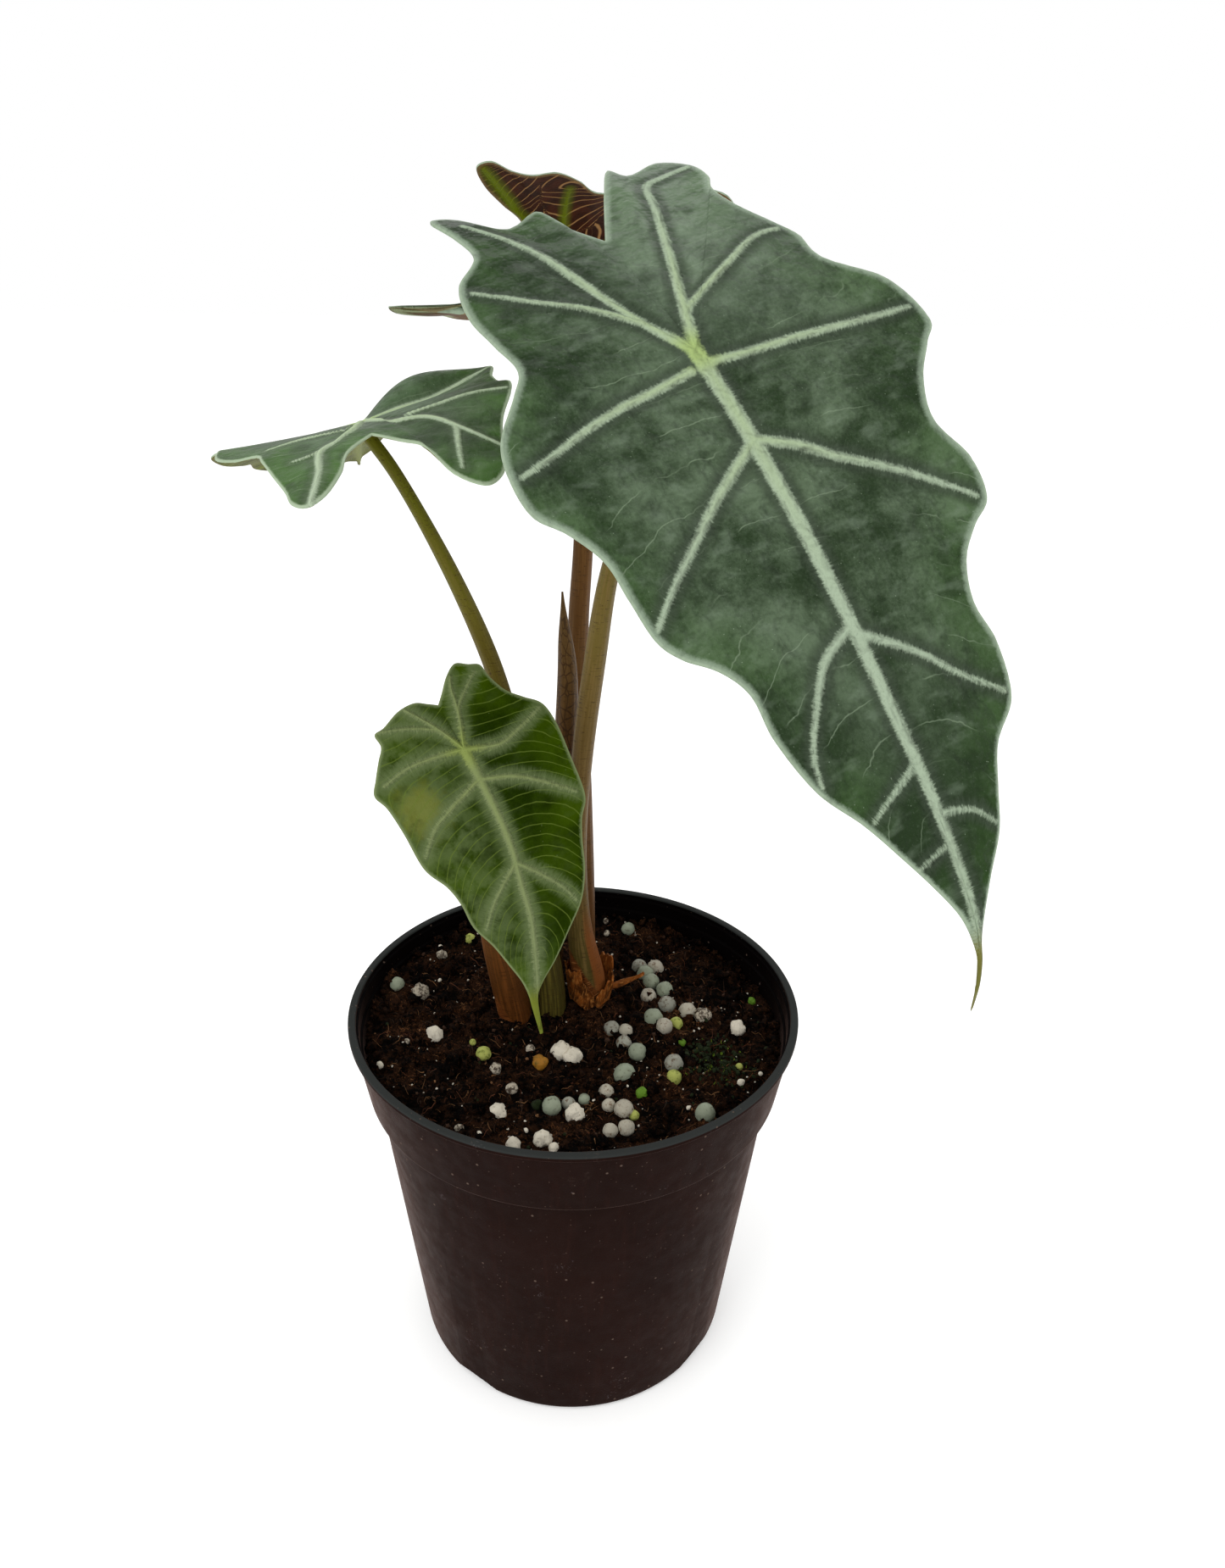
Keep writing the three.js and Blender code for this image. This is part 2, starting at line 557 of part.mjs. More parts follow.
// Stems from inside their holes in the soil up to the blades, with radii spaced evenly along them
const HOLE_FLOOR = SOIL_LEVEL - STEM_HOLE_DEPTH;
const STEMS = {
  leaf_front_petiole: {
    path: [
      [4.4, 12.2, HOLE_FLOOR], [3.6, 12, 102], [1, 11.3, 120], [0.2, 10, 147.3], [1.6, 7, 173.5],
      [4.3, 3, 198.1], [8.1, -5, 225], [12.6, -13, 240], [18.6, -25, 258], seatOf(frontLeaf, 0),
    ],
    radii: [4.9, 4.5, 3.1, 2.6, 2.6, 2.7, 2.6, 2.2, 1.9, 1.8, 2],
  },
  leaf_left_petiole: {
    path: [
      [-6.4, 6, HOLE_FLOOR], [-6.4, 6.2, 103], [-9, 6, 125], [-11.5, 6, 152], [-14.9, 5.6, 176.6],
      [-18.5, 5, 193.1], [-22.3, 4.2, 205.3], [-30.3, 3, 224.8], [-40.3, 3, 243.9],
      seatOf(leftLeaf, 0),
    ],
    radii: [3.7, 3.6, 3.3, 3.1, 2.8, 2.5, 2.3, 2.1, 1.8, 1.5, 1.5],
  },
  leaf_small_petiole: {
    path: [
      [-16.4, 4.6, HOLE_FLOOR], [-16.7, 4.2, 97], [-18.6, 3, 110], [-20.6, 1.6, 123],
      [-22.2, -1, 140], [-23.6, -5, 157], [-24.6, -12, 174], seatOf(smallLeaf, 0),
    ],
    radii: [4.6, 4.6, 4.5, 4.1, 3.2, 2.5, 2, 1.6, 1.4],
  },
  leaf_back_petiole: {
    path: [
      [1.8, 23, HOLE_FLOOR], [1.8, 22.9, 104], [1.6, 22.8, 130], [1, 22.8, 154], [-0.2, 23.4, 185],
      [0, 25, 204], [1, 28, 222.7], [0.8, 33, 243], [0.5, 39.5, 265], seatOf(backLeaf, 0),
    ],
    radii: [3.4, 3.3, 3.1, 2.9, 2.8, 2.7, 2.6, 2.4, 2.1, 1.8, 1.8],
  },
  new_leaf_sheath: {
    path: [
      [-7.2, 16.6, HOLE_FLOOR], [-7, 16.6, 108], [-6.2, 16.4, 130], [-4.8, 15, 152], [-2.7, 12.6, 178],
      [-2.3, 11.2, 195], [-3, 10.2, 207], [-3.4, 10, 215],
    ],
    radii: [3.2, 3.1, 3.1, 3, 3, 2.95, 2.9, 2.75, 2, 0.25],
  },
};

// The papery old sheath: a thin torn wrap round the front stem's foot, with one strip curling away
function sheetSolid(columns, rows, pointAt) {
  const upper = new THREE.PlaneGeometry(1, 1, columns, rows);
  const lower = upper.clone();
  const width = columns + 1;
  for (let row = 0; row <= rows; row++) {
    for (let column = 0; column <= columns; column++) {
      const [outer, inner] = pointAt(column / columns, row / rows);
      upper.attributes.position.setXYZ(row * width + column, ...outer);
      lower.attributes.position.setXYZ(row * width + column, ...inner);
    }
  }
  const count = upper.attributes.position.count;
  const faces = [...upper.index.array];
  for (let i = 0; i < upper.index.count; i += 3) {
    const corner = upper.index.array.slice(i, i + 3);
    faces.push(corner[0] + count, corner[2] + count, corner[1] + count);
  }
  const loop = [];
  for (let row = 0; row < rows; row++) loop.push([row * width, (row + 1) * width]);
  for (let column = 0; column < columns; column++) {
    loop.push([rows * width + column, rows * width + column + 1]);
  }
  for (let row = rows; row > 0; row--) loop.push([(row + 1) * width - 1, row * width - 1]);
  for (let column = columns; column > 0; column--) loop.push([column, column - 1]);
  for (const [a, b] of loop) faces.push(b, a, a + count, b, a + count, b + count);
  const points = [...upper.attributes.position.array, ...lower.attributes.position.array];
  const sheet = new THREE.BufferGeometry();
  sheet.setAttribute("position", new THREE.Float32BufferAttribute(points, 3));
  sheet.setIndex(faces);
  return solid(sheet);
}

const WRAP_THICKNESS = 0.6;
const WRAP_CENTRE = [3.9, 12.1];
const WRAP_INNER_RADIUS = 5.3;
const WRAP_LIFT = 0.85;

const wrapFoot = (x, y) => soilHeight(x, y) + WRAP_LIFT;

function drySheathSolid() {
  const wrap = sheetSolid(26, 4, (turn, rise) => {
    const angle = THREE.MathUtils.degToRad(-215 + 290 * turn);
    const height = 8.5 + 4.5 * Math.sin(7.5 * turn + 0.4) * Math.sin(3.1 * turn) + 1.6 * Math.sin(23 * turn);
    const radius = WRAP_INNER_RADIUS + 0.9 * rise + 0.5 * Math.sin(9 * turn) * rise;
    const [dx, dy] = [Math.cos(angle), Math.sin(angle)];
    const foot = wrapFoot(WRAP_CENTRE[0] + radius * dx, WRAP_CENTRE[1] + radius * dy);
    const ring = (r) => [WRAP_CENTRE[0] + r * dx, WRAP_CENTRE[1] + r * dy, foot + height * rise];
    return [ring(radius + WRAP_THICKNESS), ring(radius)];
  });
  const strip = sheetSolid(8, 2, (reach, side) => {
    const x = WRAP_CENTRE[0] + WRAP_INNER_RADIUS + 0.1 + 9.5 * reach;
    const y = WRAP_CENTRE[1] - 1.5 + 3 * side * (1 - 0.7 * reach) + 2 * reach;
    const z = wrapFoot(x, y) + 3.5 + 5.5 * reach - 1.5 * Math.sin(Math.PI * reach);
    return [[x, y, z + WRAP_THICKNESS], [x, y, z]];
  });
  return wrap.add(strip);
}

// Finishes
const plastic = finish(0x2f2320, 0.55);
const peat = finish(0x241a14, 0.95);
const darkGreen = finish(0x3b5644, 0.5);
const brightGreen = finish(0x3f6128, 0.5);
const maroon = finish(0x4c2c1c, 0.55);
const olive = finish(0x6d6336, 0.6);
const tan = finish(0x805a3e, 0.6);
const paper = finish(0x8a5326, 0.8);

// The plant in its pot
const stemMaterials = {
  leaf_front_petiole: tan,
  leaf_left_petiole: olive,
  leaf_small_petiole: tan,
  leaf_back_petiole: tan,
  new_leaf_sheath: tan,
};
const blades = {
  leaf_front_blade: [frontLeaf, darkGreen],
  leaf_left_blade: [leftLeaf, darkGreen],
  leaf_small_blade: [smallLeaf, brightGreen],
  leaf_back_blade: [backLeaf, maroon],
};

const plant = new THREE.Group();
plant.add(named("pot", geometryOf(potSolid()), plastic));
plant.add(named("soil", geometryOf(soilSolid(Object.values(STEMS))), peat));
for (const [name, stem] of Object.entries(STEMS)) {
  plant.add(named(name, geometryOf(stemSolid(stem, 0, 0)), stemMaterials[name]));
}
for (const [name, [leaf, material]] of Object.entries(blades)) {
  plant.add(named(name, geometryOf(bladeSolid(leaf)), material));
}
plant.add(named("dry_sheath", geometryOf(drySheathSolid()), paper));

export default plant;
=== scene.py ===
"""The looks of a potted alocasia polly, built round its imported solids.

Millimetres are used for every shape, and turned into metres where the vertices are stored.
"""

import logging
import math
from collections.abc import Iterator, Sequence
from dataclasses import dataclass
from enum import Enum
from functools import partialmethod
from typing import Any, NamedTuple

import bmesh
import bpy
import numpy as np
from mathutils import Matrix, Vector, noise


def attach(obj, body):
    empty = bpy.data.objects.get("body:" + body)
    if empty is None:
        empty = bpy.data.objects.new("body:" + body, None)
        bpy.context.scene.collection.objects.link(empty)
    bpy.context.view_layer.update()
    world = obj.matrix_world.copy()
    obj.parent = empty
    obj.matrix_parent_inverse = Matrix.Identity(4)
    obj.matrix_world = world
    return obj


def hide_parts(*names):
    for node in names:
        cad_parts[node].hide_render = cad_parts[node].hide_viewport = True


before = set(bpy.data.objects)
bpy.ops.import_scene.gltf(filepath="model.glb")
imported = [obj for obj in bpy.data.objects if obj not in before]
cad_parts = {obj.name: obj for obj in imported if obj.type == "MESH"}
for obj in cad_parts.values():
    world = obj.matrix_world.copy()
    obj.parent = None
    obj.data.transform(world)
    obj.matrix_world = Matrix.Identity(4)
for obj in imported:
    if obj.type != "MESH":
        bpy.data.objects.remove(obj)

log = logging.getLogger("plant")

Colour = tuple[float, float, float]
Point = tuple[float, float, float]
Array = np.ndarray
Random = np.random.Generator
BMesh = bmesh.types.BMesh
BMVert = bmesh.types.BMVert

MM = 0.001
PHOTO_LONG_SIDE = 1850
FOCAL_PIXELS = 1390.0
SENSOR_WIDTH = 36.0


class Slot(Enum):
    """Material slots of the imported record."""

    POT = "pot"
    SOIL = "soil"
    UPPER_DARK = "leaf_upper_dark"
    UPPER_BRIGHT = "leaf_upper_bright"
    UNDERSIDE = "leaf_underside"
    STEM_TAN = "stem_tan"
    STEM_OLIVE = "stem_olive"
    DRY_SHEATH = "dry_sheath"


# Shader arithmetic


class Shade:
    """A shader socket that can be used in Python arithmetic."""

    def __init__(self, graph: "Graph", socket: bpy.types.NodeSocket) -> None:
        """Wraps one output socket."""
        self.graph = graph
        self.socket = socket

    def math(self, operation: str, *others: Any, last: bool = False) -> "Shade":
        """Applies one Math operation."""
        inputs = (*others, self) if last else (self, *others)
        return self.graph.shade("ShaderNodeMath", dict(enumerate(inputs)), operation=operation)

    __add__ = __radd__ = partialmethod(math, "ADD")
    __sub__ = partialmethod(math, "SUBTRACT")
    __rsub__ = partialmethod(math, "SUBTRACT", last=True)
    __mul__ = __rmul__ = partialmethod(math, "MULTIPLY")
    __truediv__ = partialmethod(math, "DIVIDE")

    def step(self, low: float, high: float) -> "Shade":
        """Rises smoothly from 0 to 1, or falls where low is over high.

        Args:
            low: where the result is 0.
            high: where the result is 1.

        Returns:
            The smooth step.
        """
        ends = (low, high, 0.0, 1.0) if low < high else (high, low, 1.0, 0.0)
        inputs = dict(enumerate((self, *ends)))
        return self.graph.shade("ShaderNodeMapRange", inputs, interpolation_type="SMOOTHSTEP")

    def lines(self, spacing: float, width: float) -> "Shade":
        """Soft lines where this shade is a whole number of spacings."""
        away = ((self / spacing).math("FRACT") - 0.5).math("ABSOLUTE")
        return ((0.5 - away) * spacing).step(width * 1.8, width * 0.5)


class Graph:
    """The node graph of one material."""

    def __init__(self, name: str) -> None:
        """Makes an empty material.

        Args:
            name: the material's name.
        """
        self.material = bpy.data.materials.new(name)
        self.material.use_nodes = True
        self.tree = self.material.node_tree
        self.tree.nodes.clear()

    def node(self, kind: str, inputs: dict[Any, Any], **settings: Any) -> bpy.types.Node:
        """Adds a node.

        Args:
            kind: the node's type.
            inputs: a number, colour or shade for each input, by place or name.
            settings: its properties, set before its inputs.

        Returns:
            The node.
        """
        made = self.tree.nodes.new(kind)
        for key, value in settings.items():
            setattr(made, key, value)
        for key, value in inputs.items():
            if isinstance(value, Shade):
                self.tree.links.new(value.socket, made.inputs[key])
            else:
                made.inputs[key].default_value = value
        return made

    def shade(
        self, kind: str, inputs: dict[Any, Any], output: int | str = 0, **settings: Any
    ) -> Shade:
        """Adds a node and reads one of its outputs."""
        return Shade(self, self.node(kind, inputs, **settings).outputs[output])

    def attribute(self, name: str) -> Shade:
        """Reads a number stored on the mesh."""
        return self.shade("ShaderNodeAttribute", {}, "Fac", attribute_name=name)

    def place(self) -> Shade:
        """Reads the position in the object, in millimetres.

        Returns:
            The position.
        """
        metres = self.shade("ShaderNodeTexCoord", {}, "Object")
        inputs = {0: metres, "Scale": 1 / MM}
        return self.shade("ShaderNodeVectorMath", inputs, operation="SCALE")

    def distance(self, where: Shade, point: Sequence[float]) -> Shade:
        """Measures how far a position is from a point."""
        inputs = {0: where, 1: point}
        return self.shade("ShaderNodeVectorMath", inputs, "Value", operation="DISTANCE")

    def joined(self, x: Any, y: Any, z: Any) -> Shade:
        """Joins three numbers into a vector."""
        return self.shade("ShaderNodeCombineXYZ", {0: x, 1: y, 2: z})

    def parts(self, value: Shade) -> tuple[Shade, ...]:
        """Splits a vector."""
        node = self.node("ShaderNodeSeparateXYZ", {0: value})
        return tuple(Shade(self, out) for out in node.outputs)

    def noise(self, where: Shade, scale: float, detail: float = 3.0, rough: float = 0.55) -> Shade:
        """Samples smooth noise."""
        inputs = {"Vector": where, "Scale": scale, "Detail": detail, "Roughness": rough}
        return self.shade("ShaderNodeTexNoise", inputs)

    def cells(self, where: Shade, scale: float) -> tuple[Shade, Shade]:
        """Samples a pattern of cells.

        Args:
            where: the position.
            scale: how many cells there are to a unit of the position.

        Returns:
            The distance to a cell's middle, and a random number for each cell.
        """
        node = self.node("ShaderNodeTexVoronoi", {"Vector": where, "Scale": scale}, feature="F1")
        middle, colour = (Shade(self, out) for out in node.outputs[:2])
        return middle, self.parts(colour)[0]

    def mix(self, factor: Any, first: Any, second: Any) -> Shade:
        """Mixes two colours.

        Args:
            factor: 0 for the first colour and 1 for the second.
            first: a colour or shade.
            second: a colour or shade.

        Returns:
            The mixed colour.
        """
        rgba = [v if isinstance(v, Shade) else (*linear(v), 1.0) for v in (first, second)]
        inputs = {0: factor, 6: rgba[0], 7: rgba[1]}
        return self.shade("ShaderNodeMix", inputs, 2, data_type="RGBA", clamp_factor=True)

    def over(self, colour: Shade, *layers: tuple[Shade, Any]) -> Shade:
        """Paints layers over a colour.

        Args:
            colour: the colour.
            layers: how much of each layer covers what is under it, and the layer's colour.

        Returns:
            The painted colour.
        """
        for cover, paint in layers:
            colour = self.mix(cover, colour, paint)
        return colour

    def bump(self, height: Shade, depth: float, under: Shade | None = None) -> Shade:
        """Turns a height into a normal.

        Args:
            height: the height, from 0 to 1.
            depth: what a height of 1 stands for, in millimetres.
            under: a normal that this one adds to.

        Returns:
            The normal.
        """
        inputs: dict[str, Any] = {"Distance": depth * MM, "Height": height}
        if under is not None:
            inputs["Normal"] = under
        return self.shade("ShaderNodeBump", inputs)

    def surface(
        self,
        colour: Shade,
        rough: Any,
        normal: Shade,
        gloss: float,
        tint: Colour = (1.0, 1.0, 1.0),
        **constants: Any,
    ) -> bpy.types.Material:
        """Finishes the material.

        Args:
            colour: the base colour.
            rough: the roughness.
            normal: the normal.
            gloss: the strength of the reflections.
            tint: their linear colour.
            constants: other inputs of the surface, with _ for each space in their names.

        Returns:
            The material.
        """
        inputs = {"Base Color": colour, "Roughness": rough, "Normal": normal}
        inputs |= {"Specular IOR Level": gloss, "Specular Tint": (*tint, 1.0)}
        inputs |= {key.replace("_", " "): value for key, value in constants.items()}
        shader = self.shade("ShaderNodeBsdfPrincipled", inputs)
        self.node("ShaderNodeOutputMaterial", {"Surface": shader})
        return self.material


def linear(colour: Colour) -> Colour:
    """Turns a colour of 0 to 255 into the linear one that shaders use.

    Args:
        colour: red, green and blue of 0 to 255.

    Returns:
        The linear colour of 0 to 1.
    """
    shares = (c / 255 for c in colour)
    return tuple(s / 12.92 if s <= 0.04045 else ((s + 0.055) / 1.055) ** 2.4 for s in shares)


def scaled(colour: Colour, share: float) -> Colour:
    """Makes a colour darker or paler.

    Args:
        colour: the colour.
        share: what each of its numbers is multiplied by.

    Returns:
        The new colour.
    """
    return tuple(c * share for c in colour)


# Finishes


class LeafPlace:
    """What the parts of a leaf's shader share."""

    def __init__(self, g: Graph) -> None:
        """Reads the leaf's numbers and samples its noises.

        Args:
            g: the graph.
        """
        self.g = g
        self.along, self.across = g.attribute("along"), g.attribute("across")
        self.where = g.joined(self.along, self.across, 0.0)
        self.vein, self.rim = g.attribute("vein"), g.attribute("rim")
        self.fibre = g.noise(self.where, 2.6, 4.0, 0.7) - 0.5
        self.hairs = g.noise(self.where, 1.1, 2.0, 0.5) - 0.5
        self.mottle = g.noise(self.where, 0.28, 6.0, 0.62)
        self.grain = g.noise(self.where, 1.4, 4.0, 0.7)
        strokes = g.joined(g.attribute("stride") * 2.6, self.vein * 0.45, 0.0)
        self.fray = (g.noise(strokes, 1.0, 4.0, 0.75) - 0.5) * 1.5


@dataclass(frozen=True)
class LeafFace:
    """The upper face of a leaf: green with pale feathered veins and a pale margin."""

    deep: Colour
    soft: Colour
    fresh: Colour
    vein: Colour
    joint: Colour
    margin: Colour
    fine: Colour
    feather: float
    halo: float
    fine_spacing: float
    fine_width: float
    fine_cover: float
    fine_strength: float
    silver: float
    rim_fresh: float
    gloss: float
    quilt: float
    # Strength of the painted light and shade of small folds.
    painted_fold_strength: float
    halo_reach: float = 2.4
    # Painted light and shade: a highlight on the right back lobe, shade on the left back lobe and
    # towards the tip.
    painted_light_fade: tuple[float, float, float] = (0.0, 0.0, 0.0)
    painted_left_sheen: float = 0.0
    rim_width: float = 1.0
    # Strength of the painted shadow beside the main veins.
    painted_vein_shadow: float = 0.0
    tail: tuple[float, Colour] = (400.0, (0, 0, 0))
    patch: Colour | None = None

    PATCH = (8.0, -15.0, 0.0)
    GLOSS_TINT = (0.8, 1.0, 0.62)

    def material(self, name: str) -> bpy.types.Material:
        """Builds the material.

        Args:
            name: its name.

        Returns:
            The material.
        """
        g = Graph(name)
        at = LeafPlace(g)
        pale = (at.vein + (at.fray + at.hairs * 0.5) * self.feather).step(0.4, -0.4)
        colour = self.veined(at, self.marked(at, self.ground(at)), pale)
        rise = g.bump((at.vein + at.fibre * 0.3).step(0.5, -0.9), 0.6)
        rise = g.bump(g.noise(at.where, 0.14, 3.0, 0.5), self.quilt, rise)
        normal = g.bump(at.grain * 0.6 + g.noise(at.where, 4.0, 2.0) * 0.4, 0.14, rise)
        rough = 0.36 + g.noise(at.where, 0.5, 3.0) * 0.2 + pale * 0.15
        return g.surface(colour, rough, normal, self.gloss, self.GLOSS_TINT)

    def ground(self, at: LeafPlace) -> Shade:
        """Paints the green between the veins.

        Args:
            at: what the parts of the shader share.

        Returns:
            The colour.
        """
        g, where, along, across, mottle = at.g, at.where, at.along, at.across, at.mottle
        tone = (g.noise(where, 0.05, 3.0, 0.5) + mottle * 0.4 + at.grain * 0.3) / 1.7
        back = along.step(15.0, -45.0)
        # Painted light and shade: the right back lobe is painted paler as a highlight, the left
        # back lobe and the tip darker as shade.
        painted_lobe_highlight, painted_lobe_shade, painted_tip_shade = self.painted_light_fade
        fresh = at.rim.step(13.0, 1.0) * g.noise(where, 0.05, 3.0).step(0.34, 0.58)
        layers = [
            # Painted sheen: the left half of the blade is painted paler in mottled patches.
            (across.step(3.0, -12.0) * mottle.step(0.3, 0.6) * self.painted_left_sheen, self.margin),
            (back * across.step(-12.0, 4.0) * painted_lobe_highlight, self.margin),
            (back * across.step(2.0, -20.0) * painted_lobe_shade, self.deep),
            (along.step(50.0, 105.0) * painted_tip_shade, self.deep),
            (fresh * self.rim_fresh, self.fresh),
        ]
        if self.patch:
            away = g.distance(where, self.PATCH) + (mottle - 0.5) * 12.0
            layers.append((away.step(8.5, 2.0) * 0.55, self.patch))
        shadow = g.noise(where, 0.12, 4.0, 0.6).step(0.5, 0.66) * at.vein.step(0.5, 4.0)
        # Painted light and shade of small folds: paler where their sides would be lit, darker where
        # they would be shaded.
        painted_fold_shading = g.noise(g.joined(along * 0.3, across * 0.16, 0.0), 1.0, 3.0, 0.55)
        layers += [
            (shadow * 0.55, scaled(self.deep, 0.85)),
            (painted_fold_shading.step(0.5, 0.74) * self.painted_fold_strength * 0.6, self.margin),
            (painted_fold_shading.step(0.44, 0.3) * self.painted_fold_strength, self.deep),
        ]
        return g.over(g.mix(tone.step(0.38, 0.64), self.deep, self.soft), *layers)

    def marked(self, at: LeafPlace, colour: Shade) -> Shade:
        """Paints silver dust, the fine veins, and what lies along the main veins.

        Args:
            at: what the parts of the shader share.
            colour: the colour so far.

        Returns:
            The colour.
        """
        g, where, vein = at.g, at.where, at.vein
        dust = g.noise(where, 1.9, 6.0, 0.8).step(0.55, 0.75) * self.silver
        warp = (g.noise(where, 0.14, 3.0) - 0.5) * 0.55 * self.fine_spacing
        fine = (g.attribute("fine") + warp).lines(self.fine_spacing, self.fine_width)
        low = 0.68 - self.fine_cover * 0.44
        cover = g.noise(where, 0.045, 2.0).step(low, low + 0.08)
        # Painted shadow: a dark line just outside each main vein, where the raised vein would shade
        # the blade.
        painted_vein_shadow = vein.step(2.8, 0.6) * vein.step(-0.3, 0.3) * self.painted_vein_shadow
        glow = (vein + at.fray * 2.4).step(self.halo_reach, 0.0) * self.halo
        cell, pick = g.cells(where, 0.9)
        specks = cell.step(0.1, 0.04) * pick.step(0.6, 0.7)
        return g.over(
            colour,
            (dust, self.margin),
            (fine * cover * self.fine_strength, self.fine),
            (painted_vein_shadow, scaled(self.deep, 0.6)),
            (glow, self.margin),
            (specks * 0.45, self.vein),
        )

    def veined(self, at: LeafPlace, colour: Shade, pale: Shade) -> Shade:
        """Paints the margin, the main veins and the dry tip.

        Args:
            at: what the parts of the shader share.
            colour: the colour so far.
            pale: 1 on the main veins and 0 between them.

        Returns:
            The colour.
        """
        g, along, fibre = at.g, at.along, at.fibre
        start, tail = self.tail
        width = (1.0 - along.step(start * 0.35, start) * 0.5) * self.rim_width
        band = ((at.rim + fibre * 0.7 + at.hairs * 0.6) / width).step(1.7, 0.5)
        near = g.distance(at.where, (0.0, 0.0, 0.0))
        ridge = g.attribute("ridge") * near.step(60.0, 6.0) * 0.4
        vein = g.over(
            g.mix(near.step(8.0, 1.0).math("MAXIMUM", ridge) * 0.8, self.vein, self.joint),
            (fibre.step(0.02, 0.2) * 0.3, self.soft),
        )
        return g.over(
            colour,
            (band * 0.9, self.margin),
            (at.rim.step(0.55, 0.2) * 0.5, self.vein),
            (pale * 0.9, vein),
            ((along + fibre * 6.0).step(start - 2, start + 3) * 0.9, tail),
        )


@dataclass(frozen=True)
class LeafBack:
    """The lower face of a leaf: brown or olive, with fine tan veins and green ribs."""

    deep: Colour
    soft: Colour
    rib: Colour
    line: Colour
    margin: Colour
    spacing: float
    lobe: Colour | None = None

    # Colour of the painted highlight at the right lobe's tip.
    PAINTED_LOBE_GLARE = (196, 204, 164)

    def material(self, name: str) -> bpy.types.Material:
        """Builds the material.

        Args:
            name: its name.

        Returns:
            The material.
        """
        g = Graph(name)
        along, across = g.attribute("along"), g.attribute("across")
        where = g.joined(along, across, 0.0)
        vein, rim = g.attribute("vein"), g.attribute("rim")
        fibre = g.noise(where, 2.0, 4.0) - 0.5
        tone = g.noise(where, 0.25, 5.0, 0.6).step(0.36, 0.66)
        warp = (g.noise(where, 0.16, 2.0) - 0.5) * 1.2
        lines = (g.attribute("fine") + warp).lines(self.spacing, 0.16)
        glow = (vein + fibre * 1.4).step(1.7, 0.0) * (lines * 0.5 + 0.45)
        layers = [(lines * 0.85, self.line), (glow, self.rib)]
        if self.lobe:
            right = across.step(9.0, 14.0)
            # Painted highlight: a pale glare along the rim at the back of the right lobe.
            tip = rim.step(2.6, 1.2) * along.step(-22.0, -28.0)
            layers += [(right * 0.75, self.lobe), (right * tip * 0.9, self.PAINTED_LOBE_GLARE)]
        layers += [
            ((vein + fibre * 0.5).step(0.2, -0.3) * 0.7, self.rib),
            ((rim + fibre * 0.7).step(0.9, 0.1) * 0.8, self.margin),
        ]
        colour = g.over(g.mix(tone, self.deep, self.soft), *layers)
        normal = g.bump(lines * 0.5 + g.noise(where, 1.5, 3.0) * 0.5, 0.18)
        return g.surface(colour, 0.5, normal, 0.05, (1.0, 0.75, 0.45))


@dataclass(frozen=True)
class StemSkin:
    """The skin of a stem: long streaks, and fine dark marks across or in a net."""

    top: Colour
    middle: Colour
    foot: Colour
    mark: Colour
    streak: Colour
    low: float
    high: float
    net: float = 0.0
    flank: Colour | None = None
    flank_height: float = 0.0
    wrap: float = 0.0

    WRAP = ((98, 52, 20), (50, 24, 8), (170, 116, 68))

    def material(self, name: str) -> bpy.types.Material:
        """Builds the material.

        Args:
            name: its name.

        Returns:
            The material.
        """
        g = Graph(name)
        place = g.place()
        x, y, z = g.parts(place)
        ring_x, ring_y = g.attribute("ring_x"), g.attribute("ring_y")
        slim = g.joined(ring_x * 5.0, ring_y * 5.0, z * 0.06)
        flat = g.joined(ring_x * 1.6, ring_y * 1.6, z * 1.5)
        streaks = g.noise(slim, 1.0, 4.0, 0.6)
        drift = (g.noise(place, 0.06, 2.0) - 0.5) * 18.0
        middle = (self.low + self.high) / 2
        layers = [
            ((z + drift).step(middle, self.high), self.top),
            (streaks.step(0.44, 0.66) * 0.6, self.streak),
        ]
        if self.flank:
            edge = (ring_x + streaks * 0.5).step(0.55, 0.85)
            low = (z + drift * 0.4).step(self.flank_height + 10, self.flank_height - 10)
            layers.append((edge * low * 0.85, self.flank))
        if self.wrap:
            under = (z + x * 1.6 + streaks * 2.0).step(self.wrap + 2.0, self.wrap + 0.6)
            layers.append((under, self.paper(g, x, y, z)))
        ticks = g.joined(ring_x * 1.1, ring_y * 1.1, z * 2.6)
        dashes = g.noise(ticks, 1.0, 3.0, 0.6).step(0.57, 0.64)
        dashes = dashes * g.noise(slim, 1.7).step(0.38, 0.55)
        net = {"Vector": g.joined(ring_x * 1.5, ring_y * 1.5, z * 0.34), "Scale": 1.0}
        walls = g.shade("ShaderNodeTexVoronoi", net, feature="DISTANCE_TO_EDGE")
        fleck, pick = g.cells(place, 0.45)
        flecks = fleck.step(0.16, 0.08) * pick.step(0.7, 0.75)
        marks = (dashes * 0.75, walls.step(0.1, 0.02) * self.net, flecks * 0.7)
        layers += [(mark, self.mark) for mark in marks]
        base = g.mix((z + drift).step(self.low, middle), self.foot, self.middle)
        normal = g.bump(streaks * 0.7 + g.noise(flat, 1.5, 3.0) * 0.3, 0.22)
        rough = 0.4 + streaks * 0.2
        return g.surface(g.over(base, *layers), rough, normal, 0.22, (1.0, 0.82, 0.5))

    def paper(self, g: Graph, x: Shade, y: Shade, z: Shade) -> Shade:
        """Paints the papery old sheath that clings to the stem's foot.

        Args:
            g: the graph.
            x: the place in millimetres.
            y: the same.
            z: the same.

        Returns:
            The colour.
        """
        base, dark, pale = self.WRAP
        fibres = g.noise(g.joined(x * 0.3, y * 0.3, (z - x * 0.35) * 3.2), 1.0, 4.0, 0.6)
        paper = g.mix(fibres.step(0.5, 0.36), base, dark)
        return g.mix(fibres.step(0.56, 0.66) * 0.8, paper, pale)


